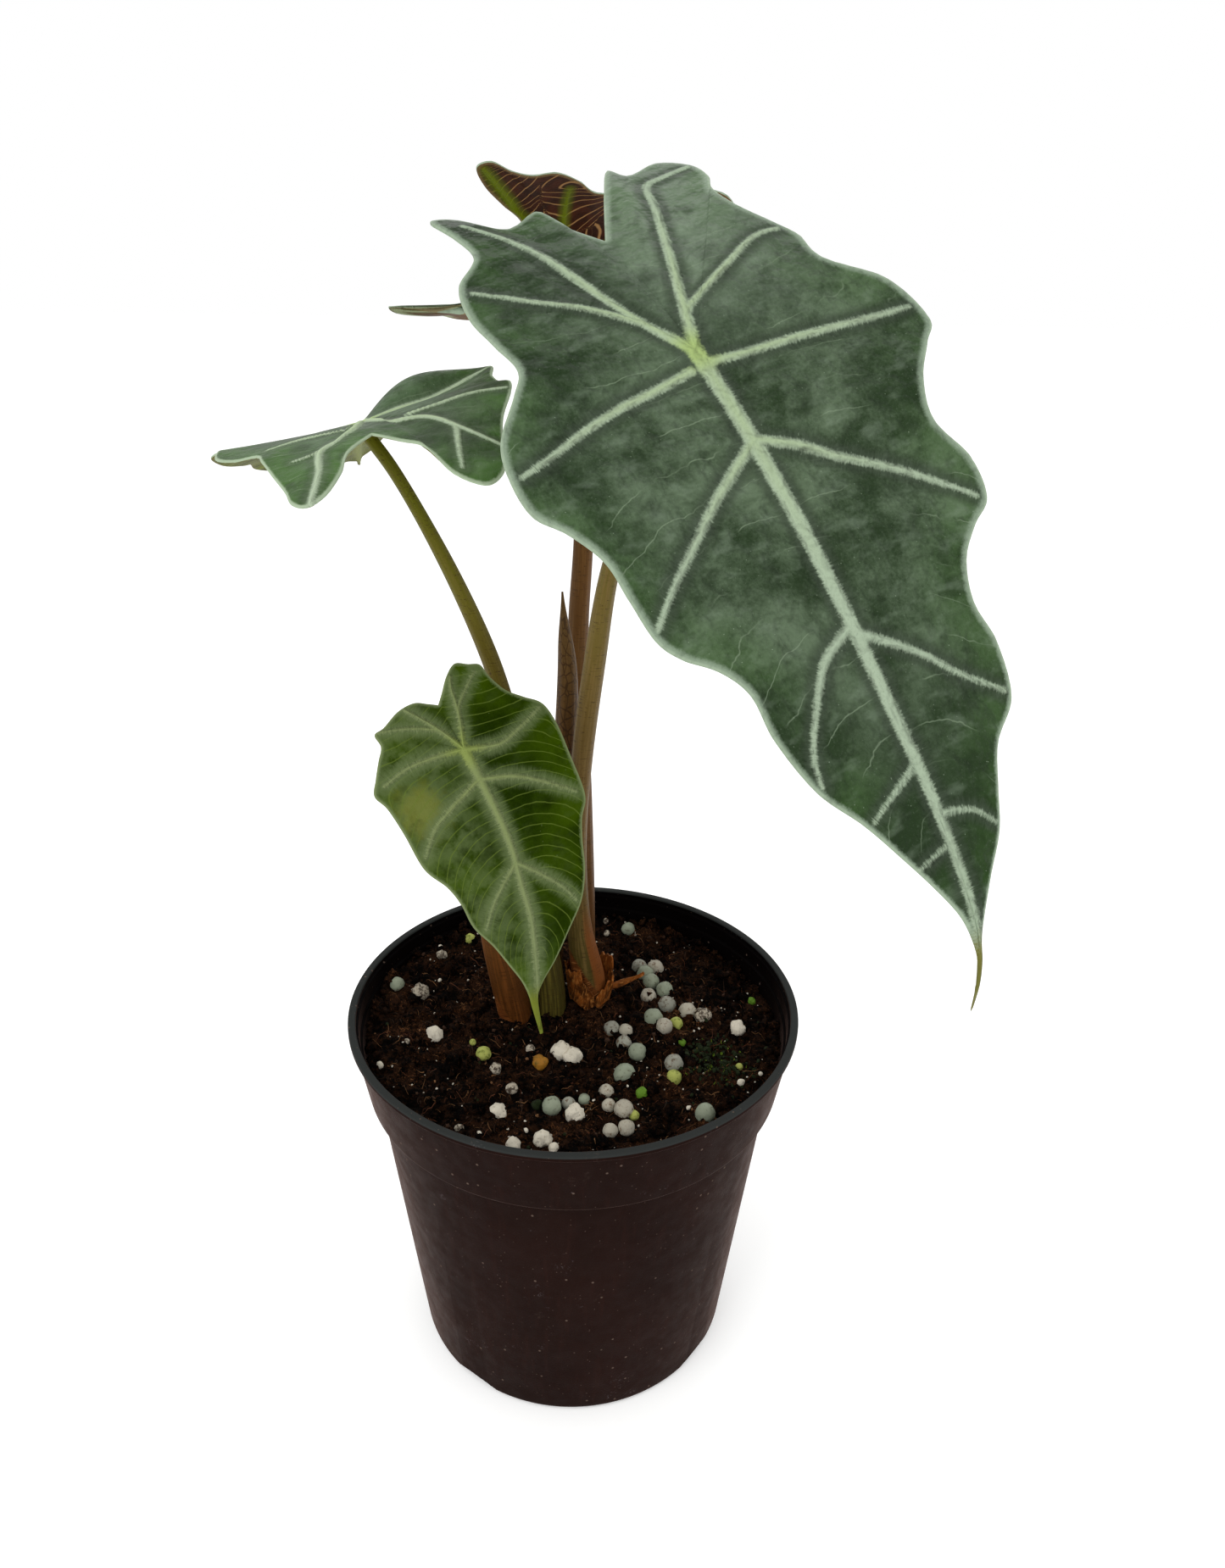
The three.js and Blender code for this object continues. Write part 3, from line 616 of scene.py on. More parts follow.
@dataclass(frozen=True)
class Papery:
    """Dry torn sheath: thin brown paper with fibres."""

    pale: Colour
    warm: Colour
    dark: Colour

    def material(self, name: str) -> bpy.types.Material:
        """Builds the material.

        Args:
            name: its name.

        Returns:
            The material.
        """
        g = Graph(name)
        around, rise = g.attribute("ring_x"), g.attribute("ring_y")
        fibres = g.noise(g.joined(around * 2.2, rise * 0.45, 0.0), 1.0, 5.0, 0.65)
        patch = g.noise(g.place(), 0.3, 4.0)
        colour = g.mix(patch.step(0.42, 0.6), self.warm, self.dark)
        colour = g.mix(fibres.step(0.5, 0.64) * 0.85, colour, self.pale)
        return g.surface(colour, 0.45, g.bump(fibres, 0.45), 0.1, (1.0, 0.7, 0.4))


@dataclass(frozen=True)
class Plastic:
    """Moulded matte plastic with dust, scuffs and faint flow lines."""

    body: Colour
    rim: Colour
    # Painted shade: the colour of the inner faces, much darker than the outside.
    inside: Colour
    dust: Colour
    scuff: Colour
    rim_foot: float

    BODY_FACE = (0.1086, 43.8)
    BAND_FACE = (0.166, 41.2)
    BAND_FOOT = (84.3, 85.6)

    def material(self, name: str) -> bpy.types.Material:
        """Builds the material.

        Args:
            name: its name.

        Returns:
            The material.
        """
        g = Graph(name)
        place = g.place()
        x, y, z = g.parts(place)
        within = self.within(x, y, z)
        outer = 1.0 - within
        tone = g.noise(place, 0.03, 4.0, 0.6)
        flow = g.noise(g.joined(x * 0.5, y * 0.5, z * 0.02), 1.0, 4.0, 0.65)
        speck, pick = g.cells(place, 0.3)
        dots = speck.step(0.13, 0.06) * pick.step(0.5, 0.54)
        tiny, chosen = g.cells(place, 0.85)
        dots = dots.math("MAXIMUM", tiny.step(0.17, 0.08) * chosen.step(0.8, 0.84) * 0.7)
        smear = g.noise(place, 0.09, 6.0, 0.72).step(0.6, 0.72)
        smear = smear * g.noise(place, 0.9, 4.0, 0.7).step(0.45, 0.7)
        broken = g.noise(place, 1.6, 5.0, 0.8).step(0.52, 0.62)
        scuff = g.noise(place, 0.13, 5.0, 0.7).step(0.62, 0.7) * broken
        colour = g.over(
            g.mix(tone.step(0.35, 0.7), self.body, scaled(self.body, 1.22)),
            (flow.step(0.5, 0.72) * 0.3, scaled(self.body, 1.6)),
            # Painted shade: the inner faces are painted much darker than the same plastic outside,
            # as shade inside the pot.
            (within, self.inside),
            (z.step(self.rim_foot - 0.15, self.rim_foot + 0.15), self.rim),
            (dots * 0.6, self.dust),
            (smear * outer * 0.14, self.dust),
            (scuff * outer * 0.45, self.scuff),
        )
        normal = g.bump(g.noise(place, 2.4, 3.0), 0.04)
        normal = g.bump(g.noise(place, 0.06, 2.0), 0.5, normal)
        rough = 0.44 + g.noise(place, 0.25, 4.0).step(0.3, 0.7) * 0.16 + dots * 0.2
        haze = {
            "Sheen_Weight": 0.14, "Sheen_Roughness": 0.25, "Sheen_Tint": (1.0, 0.64, 0.54, 1.0)
        }
        return g.surface(colour, rough, normal, 0.01, **haze)

    def within(self, x: Shade, y: Shade, z: Shade) -> Shade:
        """Finds the pot's inner faces, from lines of the wall's radius over its height.

        Args:
            x: the place in millimetres.
            y: the same.
            z: the same.

        Returns:
            1 on the inner faces and 0 on the others.
        """
        radius = (x * x + y * y).math("SQRT")
        body, band = (z * lean + foot for lean, foot in (self.BODY_FACE, self.BAND_FACE))
        wall = body.math("MAXIMUM", z.step(*self.BAND_FOOT) * band)
        return (radius - wall).step(0.15, -0.15) * z.step(6.0, 9.0)


@dataclass(frozen=True)
class Peat:
    """Dark moist peat, crumbly, with redder and paler fibres in it; the pale fibres also stand in
    for painted highlights on the crumbs.
    """

    dark: Colour
    brown: Colour
    fibre: Colour

    def material(self, name: str) -> bpy.types.Material:
        """Builds the material.

        Args:
            name: its name.

        Returns:
            The material.
        """
        g = Graph(name)
        place = g.place()
        crumbs, pick = g.cells(place, 0.9)
        zone = (g.noise(place, 0.09, 3.0) - 0.5) * 0.35
        tone = g.noise(place, 0.5, 6.0, 0.75) + zone
        # Pale fibres, partly real fibres and partly painted highlights on the crumbs.
        fibres_and_highlights = g.noise(place, 1.3, 5.0, 0.85) + zone
        colour = g.over(
            g.mix(tone.step(0.46, 0.6), self.dark, self.brown),
            (pick.step(0.75, 0.95) * 0.5, self.brown),
            (fibres_and_highlights.step(0.58, 0.68) * 0.8, self.fibre),
        )
        height = g.noise(place, 0.8, 6.0, 0.8) * 0.75 + crumbs * 0.25
        return g.surface(colour, 0.85, g.bump(height, 1.8), 0.04)


@dataclass(frozen=True)
class Grain:
    """A bead, crumb or bit in the soil: one colour with stains of its own."""

    colour: Colour
    stain: Colour
    cover: float
    rough: float
    pits: float = 0.2

    def material(self, name: str) -> bpy.types.Material:
        """Builds the material.

        Args:
            name: its name.

        Returns:
            The material.
        """
        g = Graph(name)
        place = g.place()
        less = self.cover * 0.3
        stains = g.noise(place, 0.9, 5.0, 0.7).step(0.66 - less, 0.8 - less)
        colour = g.over(
            g.mix(stains, self.colour, self.stain),
            (g.noise(place, 0.22, 2.0).step(0.3, 0.7) * 0.3, scaled(self.colour, 0.78)),
        )
        normal = g.bump(g.noise(place, 1.6, 4.0), self.pits)
        return g.surface(colour, self.rough, normal, 0.25, (1.0, 0.94, 0.78))


# Shapes shared by the pieces


def meshed(bm: BMesh, name: str) -> bpy.types.Mesh:
    """Stores a mesh.

    Args:
        bm: the mesh, which this call frees.
        name: its name.

    Returns:
        The stored mesh.
    """
    mesh = bpy.data.meshes.new(name)
    bm.to_mesh(mesh)
    bm.free()
    return mesh


def placed(name: str, data: bpy.types.ID) -> bpy.types.Object:
    """Puts an object into the scene.

    Args:
        name: its name.
        data: its mesh, light or camera.

    Returns:
        The object.
    """
    made = bpy.data.objects.new(name, data)
    bpy.context.scene.collection.objects.link(made)
    return made


class Builder:
    """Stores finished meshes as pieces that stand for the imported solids."""

    @staticmethod
    def piece(
        bm: BMesh,
        name: str,
        materials: Sequence[bpy.types.Material],
        node: str | None,
        slot: Slot,
        sharp: float = 0.7,
    ) -> bpy.types.Object:
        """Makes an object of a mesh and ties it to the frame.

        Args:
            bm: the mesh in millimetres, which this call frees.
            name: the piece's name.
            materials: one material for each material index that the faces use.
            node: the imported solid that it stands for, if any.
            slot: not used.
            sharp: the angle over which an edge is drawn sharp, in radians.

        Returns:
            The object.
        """
        bmesh.ops.recalc_face_normals(bm, faces=bm.faces)
        bmesh.ops.scale(bm, vec=(MM, MM, MM), verts=bm.verts)
        for face in bm.faces:
            face.smooth = True
        for edge in bm.edges:
            edge.smooth = edge.calc_face_angle(0.0) < sharp
        mesh = meshed(bm, name)
        for material in materials:
            mesh.materials.append(material)
        made = placed(name, mesh)
        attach(made, "root")
        if node:
            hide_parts(node)
        log.info("%s: %d faces", name, len(mesh.polygons))
        return made


def catmull(points: Array, place: Array) -> Array:
    """Follows a smooth line through points.

    Args:
        points: the points, one to a row.
        place: places along them, where 2.5 is halfway from the third to the fourth.

    Returns:
        The position at each place.
    """
    k = np.clip(np.floor(place).astype(int), 0, len(points) - 2)
    t = (place - k)[:, None]
    a, b, c, d = (points[np.clip(k + i, 0, len(points) - 1)] for i in (-1, 0, 1, 2))
    square = (2 * a - 5 * b + 4 * c - d) * t**2
    return 0.5 * (2 * b + (c - a) * t + square + (3 * b - a - 3 * c + d) * t**3)


def curve(points: Sequence[Sequence[float]], steps: int) -> Array:
    """Draws a smooth line through points from the first to the last.

    Args:
        points: the points.
        steps: how many positions there are to each point.

    Returns:
        The positions.
    """
    line = np.array(points, float)
    return catmull(line, np.linspace(0, len(line) - 1, steps * len(line)))


def length(line: Array) -> float:
    """Measures a line.

    Args:
        line: its points, one to a row.

    Returns:
        Its length.
    """
    return np.linalg.norm(np.diff(line, axis=0), axis=1).sum()


LEG_STEPS = 60


def through(points: Array, count: int) -> Array:
    """Follows a smooth line through unevenly spaced points without overshooting.

    Args:
        points: the points, one to a row.
        count: how many positions to give.

    Returns:
        Positions that are evenly spaced along the line.
    """
    ends = [2 * points[0] - points[1], *points, 2 * points[-1] - points[-2]]
    line = []
    for a, b, c, d in zip(ends, ends[1:], ends[2:], ends[3:]):
        gaps = [max(np.linalg.norm(q - p) ** 0.5, 1e-4) for p, q in ((a, b), (b, c), (c, d))]
        out = (b - a) / gaps[0] - (c - a) / (gaps[0] + gaps[1]) + (c - b) / gaps[1]
        into = (c - b) / gaps[1] - (d - b) / (gaps[1] + gaps[2]) + (d - c) / gaps[2]
        out, into = out * gaps[1], into * gaps[1]
        t = np.linspace(0, 1, LEG_STEPS, endpoint=False)[:, None]
        bend = (3 * (c - b) - 2 * out - into) * t**2 + (2 * (b - c) + out + into) * t**3
        line.append(b + out * t + bend)
    fine = np.concatenate([*line, points[-1:]])
    reach = np.concatenate([[0], np.cumsum(np.linalg.norm(np.diff(fine, axis=0), axis=1))])
    even = np.linspace(0, reach[-1], count)
    return np.stack([np.interp(even, reach, fine[:, i]) for i in range(3)], 1)


def straight(points: Array, place: Array) -> Array:
    """Follows the straight lines between points.

    Args:
        points: the points, one to a row.
        place: places along them.

    Returns:
        The position at each place.
    """
    k = np.clip(np.floor(place).astype(int), 0, len(points) - 2)
    return points[k] + (points[k + 1] - points[k]) * (place - k)[:, None]


def off_line(at: Array, line: Array) -> tuple[Array, Array]:
    """Measures how far points are from a line.

    Args:
        at: the points, one [u, v] to a row.
        line: the line's own points.

    Returns:
        The least distance, and the share of the line's length at which it is found.
    """
    best = np.full(len(at), 1e9)
    share = np.zeros(len(at))
    for i, (a, b) in enumerate(zip(line[:-1], line[1:])):
        leg = b - a
        t = np.clip(((at - a) @ leg) / max(leg @ leg, 1e-9), 0, 1)
        away = np.hypot(*(at - a - t[:, None] * leg).T)
        near = away < best
        best[near] = away[near]
        share[near] = (i + t[near]) / (len(line) - 1)
    return best, share


def unit(vectors: Any) -> Array:
    """Scales vectors to length 1.

    Args:
        vectors: one vector, or one to a row.

    Returns:
        The unit vectors.
    """
    made = np.asarray(vectors, float)
    return made / np.linalg.norm(made, axis=-1, keepdims=True)


def sheet_grid(
    columns: int, rows: int, fields: Sequence[str]
) -> tuple[BMesh, Array, Array, list]:
    """Makes a flat grid whose vertices are then moved into a shape.

    Args:
        columns: cells across.
        rows: cells along.
        fields: names of the numbers that each vertex will hold.

    Returns:
        The mesh, each vertex's column and row, and the numbers' layers.
    """
    bm = bmesh.new()
    layers = [bm.verts.layers.float.new(name) for name in fields]
    bmesh.ops.create_grid(bm, x_segments=columns, y_segments=rows, size=1.0)
    flat = np.array([v.co[:2] for v in bm.verts])
    cells = (flat + 1) / 2 * (columns, rows)
    return bm, np.rint(cells[:, 0]).astype(int), np.rint(cells[:, 1]).astype(int), layers


# Leaves


class Vein(NamedTuple):
    """A main vein as half its width at its root and its [u, v] points."""

    half_width: float
    points: list[tuple[float, float]]


@dataclass(frozen=True)
class Bend:
    """How a blade bends; values with two entries are for v under and over 0."""

    droop: float
    cup: tuple[float, float]
    lobe: float
    twist: float
    fold: tuple[float, float]
    sag: tuple[float, float]
    lobe_reach: float = 46.0

    def height(self, u: Array, v: Array) -> Array:
        """Finds the height over the blade's plane.

        Args:
            u: distance from the joint towards the tip.
            v: distance across the midrib.

        Returns:
            The height.
        """
        side = (v >= 0).astype(int)
        back, front = np.minimum(u, 0), np.maximum(u, 0)
        hang = np.sin(np.pi * np.minimum(1, -back / self.lobe_reach))
        hang = hang * np.minimum(1, np.abs(v) / 12)
        bent = self.droop * front**2 + np.array(self.cup)[side] * v**2 + self.lobe * back**2
        bent = bent + self.twist * u * v + np.array(self.fold)[side] * back * np.abs(v)
        return bent / 1000 - np.array(self.sag)[side] * hang


class Outline(NamedTuple):
    """A blade's rows, as where each leaves the midrib and where it ends on either edge."""

    rows_on_veins: list[int]
    spine: list[Point]
    left: list[Point]
    right: list[Point]


@dataclass
class Blade:
    """A leaf blade laid out as rows from its midrib to its edge."""

    node: str
    slot: Slot
    joint: Point
    to_tip: Point
    up: Point
    bend: Bend
    swells: tuple[list[float], list[float]]
    rib: float
    outline: Outline
    veins: list[Vein]
    face: LeafFace
    back: LeafBack
    row_steps: int
    columns: int
    nested: bool = False
    vein_scale: float = 1.0
    thickness: float = 0.75
    ridge_height: float = 0.45
    step: float = 0.5
    vein_steps: int = 6
    vein_shift: int = 57
    edge_steps: int = 4
    bow: float = 0.224
    crowding: float = 1.25

    DROP = ("drop_x", "drop_y", "drop_z")
    FIELDS = ("vein", "rim", "ridge", "stride", "along", "across", "fine", *DROP)

    def layout(self, place: Array, side: Array, share: Array) -> tuple[Array, Array, Array]:
        """Finds points of the blade in its own frame.

        Args:
            place: the row.
            side: -1 for the left half and 1 for the right.
            share: 0 on the midrib and 1 on the edge.

        Returns:
            u, v and the height w.
        """
        root = straight(np.array(self.outline.spine, float), place)
        halves = (self.outline.left, self.outline.right)
        edges = [catmull(np.array(half, float), place) for half in halves]
        edge = np.where((side < 0)[:, None], *edges)
        mixed = root + (edge - root) * share[:, None]
        bow = np.minimum(root[:, 0], 4 * np.abs(edge[:, 1] - root[:, 1]))
        u = mixed[:, 0] - self.bow * bow * share * (1 - share)
        rise = root[:, 2] + (edge[:, 2] - root[:, 2]) * share**2.5
        swell = self.swell(place, side) * np.sin(np.pi * share)
        return u, mixed[:, 1], self.bend.height(u, mixed[:, 1]) + rise + swell

    def swell(self, place: Array, side: Array) -> Array:
        """Finds how far the blade swells up between its main side veins.

        Args:
            place: the row.
            side: -1 for the left half and 1 for the right.

        Returns:
            The swell in the middle of each row.
        """
        made = np.zeros(len(place))
        rows = self.outline.rows_on_veins
        for i, (a, b) in enumerate(zip(rows, rows[1:])):
            inside = (place >= a) & (place <= b)
            size = np.where(side < 0, self.swells[0][i], self.swells[1][i])
            made = np.where(inside, size * np.sin(np.pi * (place - a) / (b - a)), made)
        return made

    def axes(self) -> tuple[Array, Array, Array]:
        """Finds the blade's own directions.

        Returns:
            Towards the tip, across the blade, and up from it.
        """
        up = unit(self.up)
        across = unit(np.cross(up, self.to_tip))
        return np.cross(across, up), across, up

    def fine_lines(self, u: Array, v: Array, share: Array) -> Array:
        """Numbers the fine veins, which leave a main vein at a right angle and bend to its tip.

        Args:
            u: distance towards the tip.
            v: distance across the midrib.
            share: 0 on the midrib and 1 on the edge.

        Returns:
            A number that is the same all along a fine vein.
        """
        forward = u - 9.0 * share**3
        along = -u * 0.93 + np.abs(v) * 0.37
        away = np.abs(u * 0.37 + np.abs(v) * 0.93)
        backward = -along + 0.02 * away**2
        if self.nested:
            backward = self.nested_lines(np.stack([u, v], 1))
        blend = np.clip((u + 6) / 12, 0, 1)
        return backward * (1 - blend) + forward * blend

    def nested_lines(self, at: Array) -> Array:
        """Numbers fine veins that bend out strongly between the main veins of a back lobe.

        Args:
            at: the points as [u, v].

        Returns:
            A number that is the same all along a fine vein.
        """
        best = np.full(len(at), 1e9)
        made = np.zeros(len(at))
        for vein in self.veins:
            away, share = off_line(at, curve(vein.points, self.vein_steps))
            reach = np.linalg.norm(vein.points[0]) + share * length(np.array(vein.points))
            near = away < best
            best[near] = away[near]
            made[near] = (reach - 0.9 * away**2 / (away + 5))[near]
        return made

    def build(self) -> bpy.types.Object:
        """Builds the blade.

        Returns:
            The piece.
        """
        rows = (len(self.outline.spine) - 1) * self.row_steps
        bm, column, row, layers = sheet_grid(2 * self.columns, rows, self.FIELDS)
        side = np.where(column < self.columns, -1, 1)
        share = np.abs(column - self.columns) / self.columns
        share = 1 - (1 - share) ** self.crowding
        place = row / self.row_steps
        u, v, w = self.layout(place, side, share)
        at = np.stack([u, v], 1)
        edge, ridge, rib, stride = self.vein_fields(at)
        rim = self.rim_field(at)
        ridge, rib = np.minimum(ridge, rim), np.minimum(rib, 0.7 * rim)
        to_tip, across, up = self.axes()
        points = np.array(self.joint) + np.outer(u, to_tip) + np.outer(v, across) + np.outer(w, up)
        normal = self.normals(u, v)
        thick = self.thickness * (0.25 + 0.75 * np.clip(rim / 0.6, 0, 1) ** 0.5)
        dip = (self.thickness - thick) / 2
        upper = points + normal * (self.ridge_height * ridge - dip)[:, None]
        lower = points - normal * (dip + thick + rib)[:, None]
        drop = lower - upper
        values = [edge, rim, ridge, stride, u, v, self.fine_lines(u, v, share), *drop.T]
        for i, vert in enumerate(bm.verts):
            vert.co = upper[i]
            for layer, value in zip(layers, values):
                vert[layer] = value[i]
        bmesh.ops.remove_doubles(bm, verts=bm.verts, dist=0.004)
        made = bmesh.ops.extrude_face_region(bm, geom=list(bm.faces))
        for item in made["geom"]:
            if isinstance(item, BMVert):
                item.co += Vector([item[layer] for layer in layers[-len(self.DROP):]])
            elif isinstance(item, bmesh.types.BMFace):
                item.material_index = 1
        materials = [
            self.face.material(self.node + "_face"),
            self.back.material(self.node + "_back"),
        ]
        return Builder.piece(bm, self.node + "_leaf", materials, self.node, self.slot)

    def normals(self, u: Array, v: Array) -> Array:
        """Finds the directions in which the bent blade faces.

        Args:
            u: distance towards the tip.
            v: distance across the midrib.

        Returns:
            The unit normals, one to a row.
        """
        to_tip, across, up = self.axes()
        step, height = self.step, self.bend.height
        du = (height(u + step, v) - height(u - step, v)) / (2 * step)
        dv = (height(u, v + step) - height(u, v - step)) / (2 * step)
        return unit(up - du[:, None] * to_tip - dv[:, None] * across)

    def vein_fields(self, at: Array) -> tuple[Array, Array, Array, Array]:
        """Measures the blade's points against its main veins.

        Args:
            at: the points as [u, v].

        Returns:
            Distance outside the nearest vein's edge, the ridge on the upper face from 0 to 1,
            the depth of the ribs on the lower face, and the distance along the nearest vein.
        """
        edge = np.full(len(at), 1e9)
        ridge = np.zeros(len(at))
        rib = np.zeros(len(at))
        stride = np.zeros(len(at))
        for i, vein in enumerate(self.veins):
            line = curve(vein.points, self.vein_steps)
            away, share = off_line(at, line)
            half = vein.half_width * self.vein_scale * (1 - 0.55 * share)
            start = i * self.vein_shift
            stride = np.where(away - half < edge, start + share * length(line), stride)
            edge = np.minimum(edge, away - half)
            ridge = np.maximum(ridge, np.exp(-((away / (0.75 * half)) ** 2)) * (1 - 0.5 * share))
            depth = self.rib * (half / self.veins[0].half_width) ** 1.3
            rib = np.maximum(rib, depth * np.exp(-((away / (0.8 * half)) ** 2)))
        return edge, ridge, rib, stride

    def rim_field(self, at: Array) -> Array:
        """Measures the blade's points against its edge.

        Args:
            at: the points as [u, v].

        Returns:
            Distance to the edge.
        """
        halves = (self.outline.left, self.outline.right)
        edges = [curve([point[:2] for point in half], self.edge_steps) for half in halves]
        return np.minimum(*[off_line(at, edge)[0] for edge in edges])


# Stems

RING_FIELDS = ("ring_x", "ring_y")


@dataclass
class Stem:
    """A stem along a smooth path, with radii spaced evenly along it."""

    node: str
    slot: Slot
    path: list[Point]
    radii: list[float]
    skin: StemSkin
    sides: int = 40
    steps: int = 150
    flutes: tuple[int, float] = (7, 0.012)

    def build(self) -> bpy.types.Object:
        """Builds the stem.

        Returns:
            The piece.
        """
        bm, column, row, rings = sheet_grid(self.sides, self.steps, RING_FIELDS)
        share = np.arange(self.steps + 1) / self.steps
        centre = through(np.array(self.path, float), self.steps + 1)
        tangent = unit(np.gradient(centre, axis=0))
        front = unit(np.cross(tangent, (1.0, 0.0, 0.0)))
        right = np.cross(front, tangent)
        radii = np.array(self.radii)[:, None]
        radius = catmull(radii, share * (len(radii) - 1))[:, 0]
        turn = column / self.sides * 2 * math.pi
        flutes, depth = self.flutes
        here = radius[row] * (1 + depth * np.sin(flutes * turn + 3 * share[row]))
        points = centre[row] + (np.cos(turn) * here)[:, None] * right[row]
        points += (np.sin(turn) * here)[:, None] * front[row]
        for i, vert in enumerate(bm.verts):
            vert.co = points[i]
            vert[rings[0]] = math.cos(turn[i])
            vert[rings[1]] = -math.sin(turn[i])
        bmesh.ops.remove_doubles(bm, verts=bm.verts, dist=0.001)
        bmesh.ops.holes_fill(bm, edges=bm.edges, sides=0)
        skin = self.skin.material(self.node + "_skin")
        return Builder.piece(bm, self.node + "_stem", [skin], self.node, self.slot)


# The dry sheath


@dataclass
class DrySheath:
    """The papery wrap round the front stem's foot, with a strip that curls away."""

    finish: Papery
    centre: tuple[float, float] = (3.9, 12.1)
    inner_radius: float = 5.3
    thickness: float = 0.5
    lift: float = 0.85
    wrap_cells: tuple[int, int] = (190, 26)
    strip_cells: tuple[int, int] = (44, 12)

    def foot(self, x: Array, y: Array) -> Array:
        """Finds the height of the sheath's foot."""
        return soil_height(x, y) + self.lift

    def build(self) -> bpy.types.Object:
        """Builds the sheath.

        Returns:
            The piece.
        """
        bm = bmesh.new()
        rings = [bm.verts.layers.float.new(name) for name in RING_FIELDS]
        for cells, shape in ((self.wrap_cells, self.wrap), (self.strip_cells, self.strip)):
            made = bmesh.ops.create_grid(bm, x_segments=cells[0], y_segments=cells[1], size=0.5)
            flat = np.array([v.co[:2] for v in made["verts"]]) + 0.5
            points, fibres = shape(flat[:, 0], flat[:, 1])
            for vert, point, fibre in zip(made["verts"], points, fibres):
                vert.co = point
                vert[rings[0]], vert[rings[1]] = fibre
        bmesh.ops.recalc_face_normals(bm, faces=bm.faces)
        sheets = bm.faces[:] + bm.edges[:] + bm.verts[:]
        bmesh.ops.solidify(bm, geom=sheets, thickness=self.thickness)
        material = self.finish.material("dry_sheath_finish")
        return Builder.piece(bm, "dry_sheath_paper", [material], "dry_sheath", Slot.DRY_SHEATH)

    def wrap(self, turn: Array, rise: Array) -> tuple[Array, Array]:
        """Shapes the wrap.

        Args:
            turn: 0 to 1 round the stem.
            rise: 0 to 1 from foot to torn top.

        Returns:
            The points, and the two numbers that place the fibres.
        """
        angle = np.radians(-215 + 290 * turn)
        height = 8.5 + 4.5 * np.sin(7.5 * turn + 0.4) * np.sin(3.1 * turn) + 1.6 * np.sin(23 * turn)
        height += 0.7 * np.sin(61 * turn) + 0.4 * np.sin(113 * turn + 1)
        radius = self.inner_radius + 0.3 + 0.9 * rise + 0.5 * np.sin(9 * turn) * rise
        pleat = 0.16 * np.sin(52 * turn + 2 * rise) + 0.1 * np.sin(97 * turn - 3 * rise)
        radius = radius + pleat * (0.3 + 0.7 * rise)
        x = self.centre[0] + radius * np.cos(angle)
        y = self.centre[1] + radius * np.sin(angle)
        z = self.foot(x, y) + height * rise
        return np.stack([x, y, z], 1), np.stack([angle * radius, height * rise], 1)

    def strip(self, reach: Array, side: Array) -> tuple[Array, Array]:
        """Shapes the strip that curls away to the right.

        Args:
            reach: 0 at the stem and 1 at the strip's end.
            side: 0 to 1 across the strip.

        Returns:
            The points, and the two numbers that place the fibres.
        """
        x = self.centre[0] + self.inner_radius + 0.1 + 9.5 * reach
        y = self.centre[1] - 1.5 + 3 * side * (1 - 0.7 * reach) + 2 * reach
        z = self.foot(x, y) + 3.8 + 5.5 * reach - 1.5 * np.sin(np.pi * reach)
        z = z + 0.35 * np.cos((side - 0.5) * 4) + 0.12 * np.sin(side * 17 + reach * 9)
        return np.stack([x, y, z], 1), np.stack([side * 4, reach * 9], 1)


# The pot


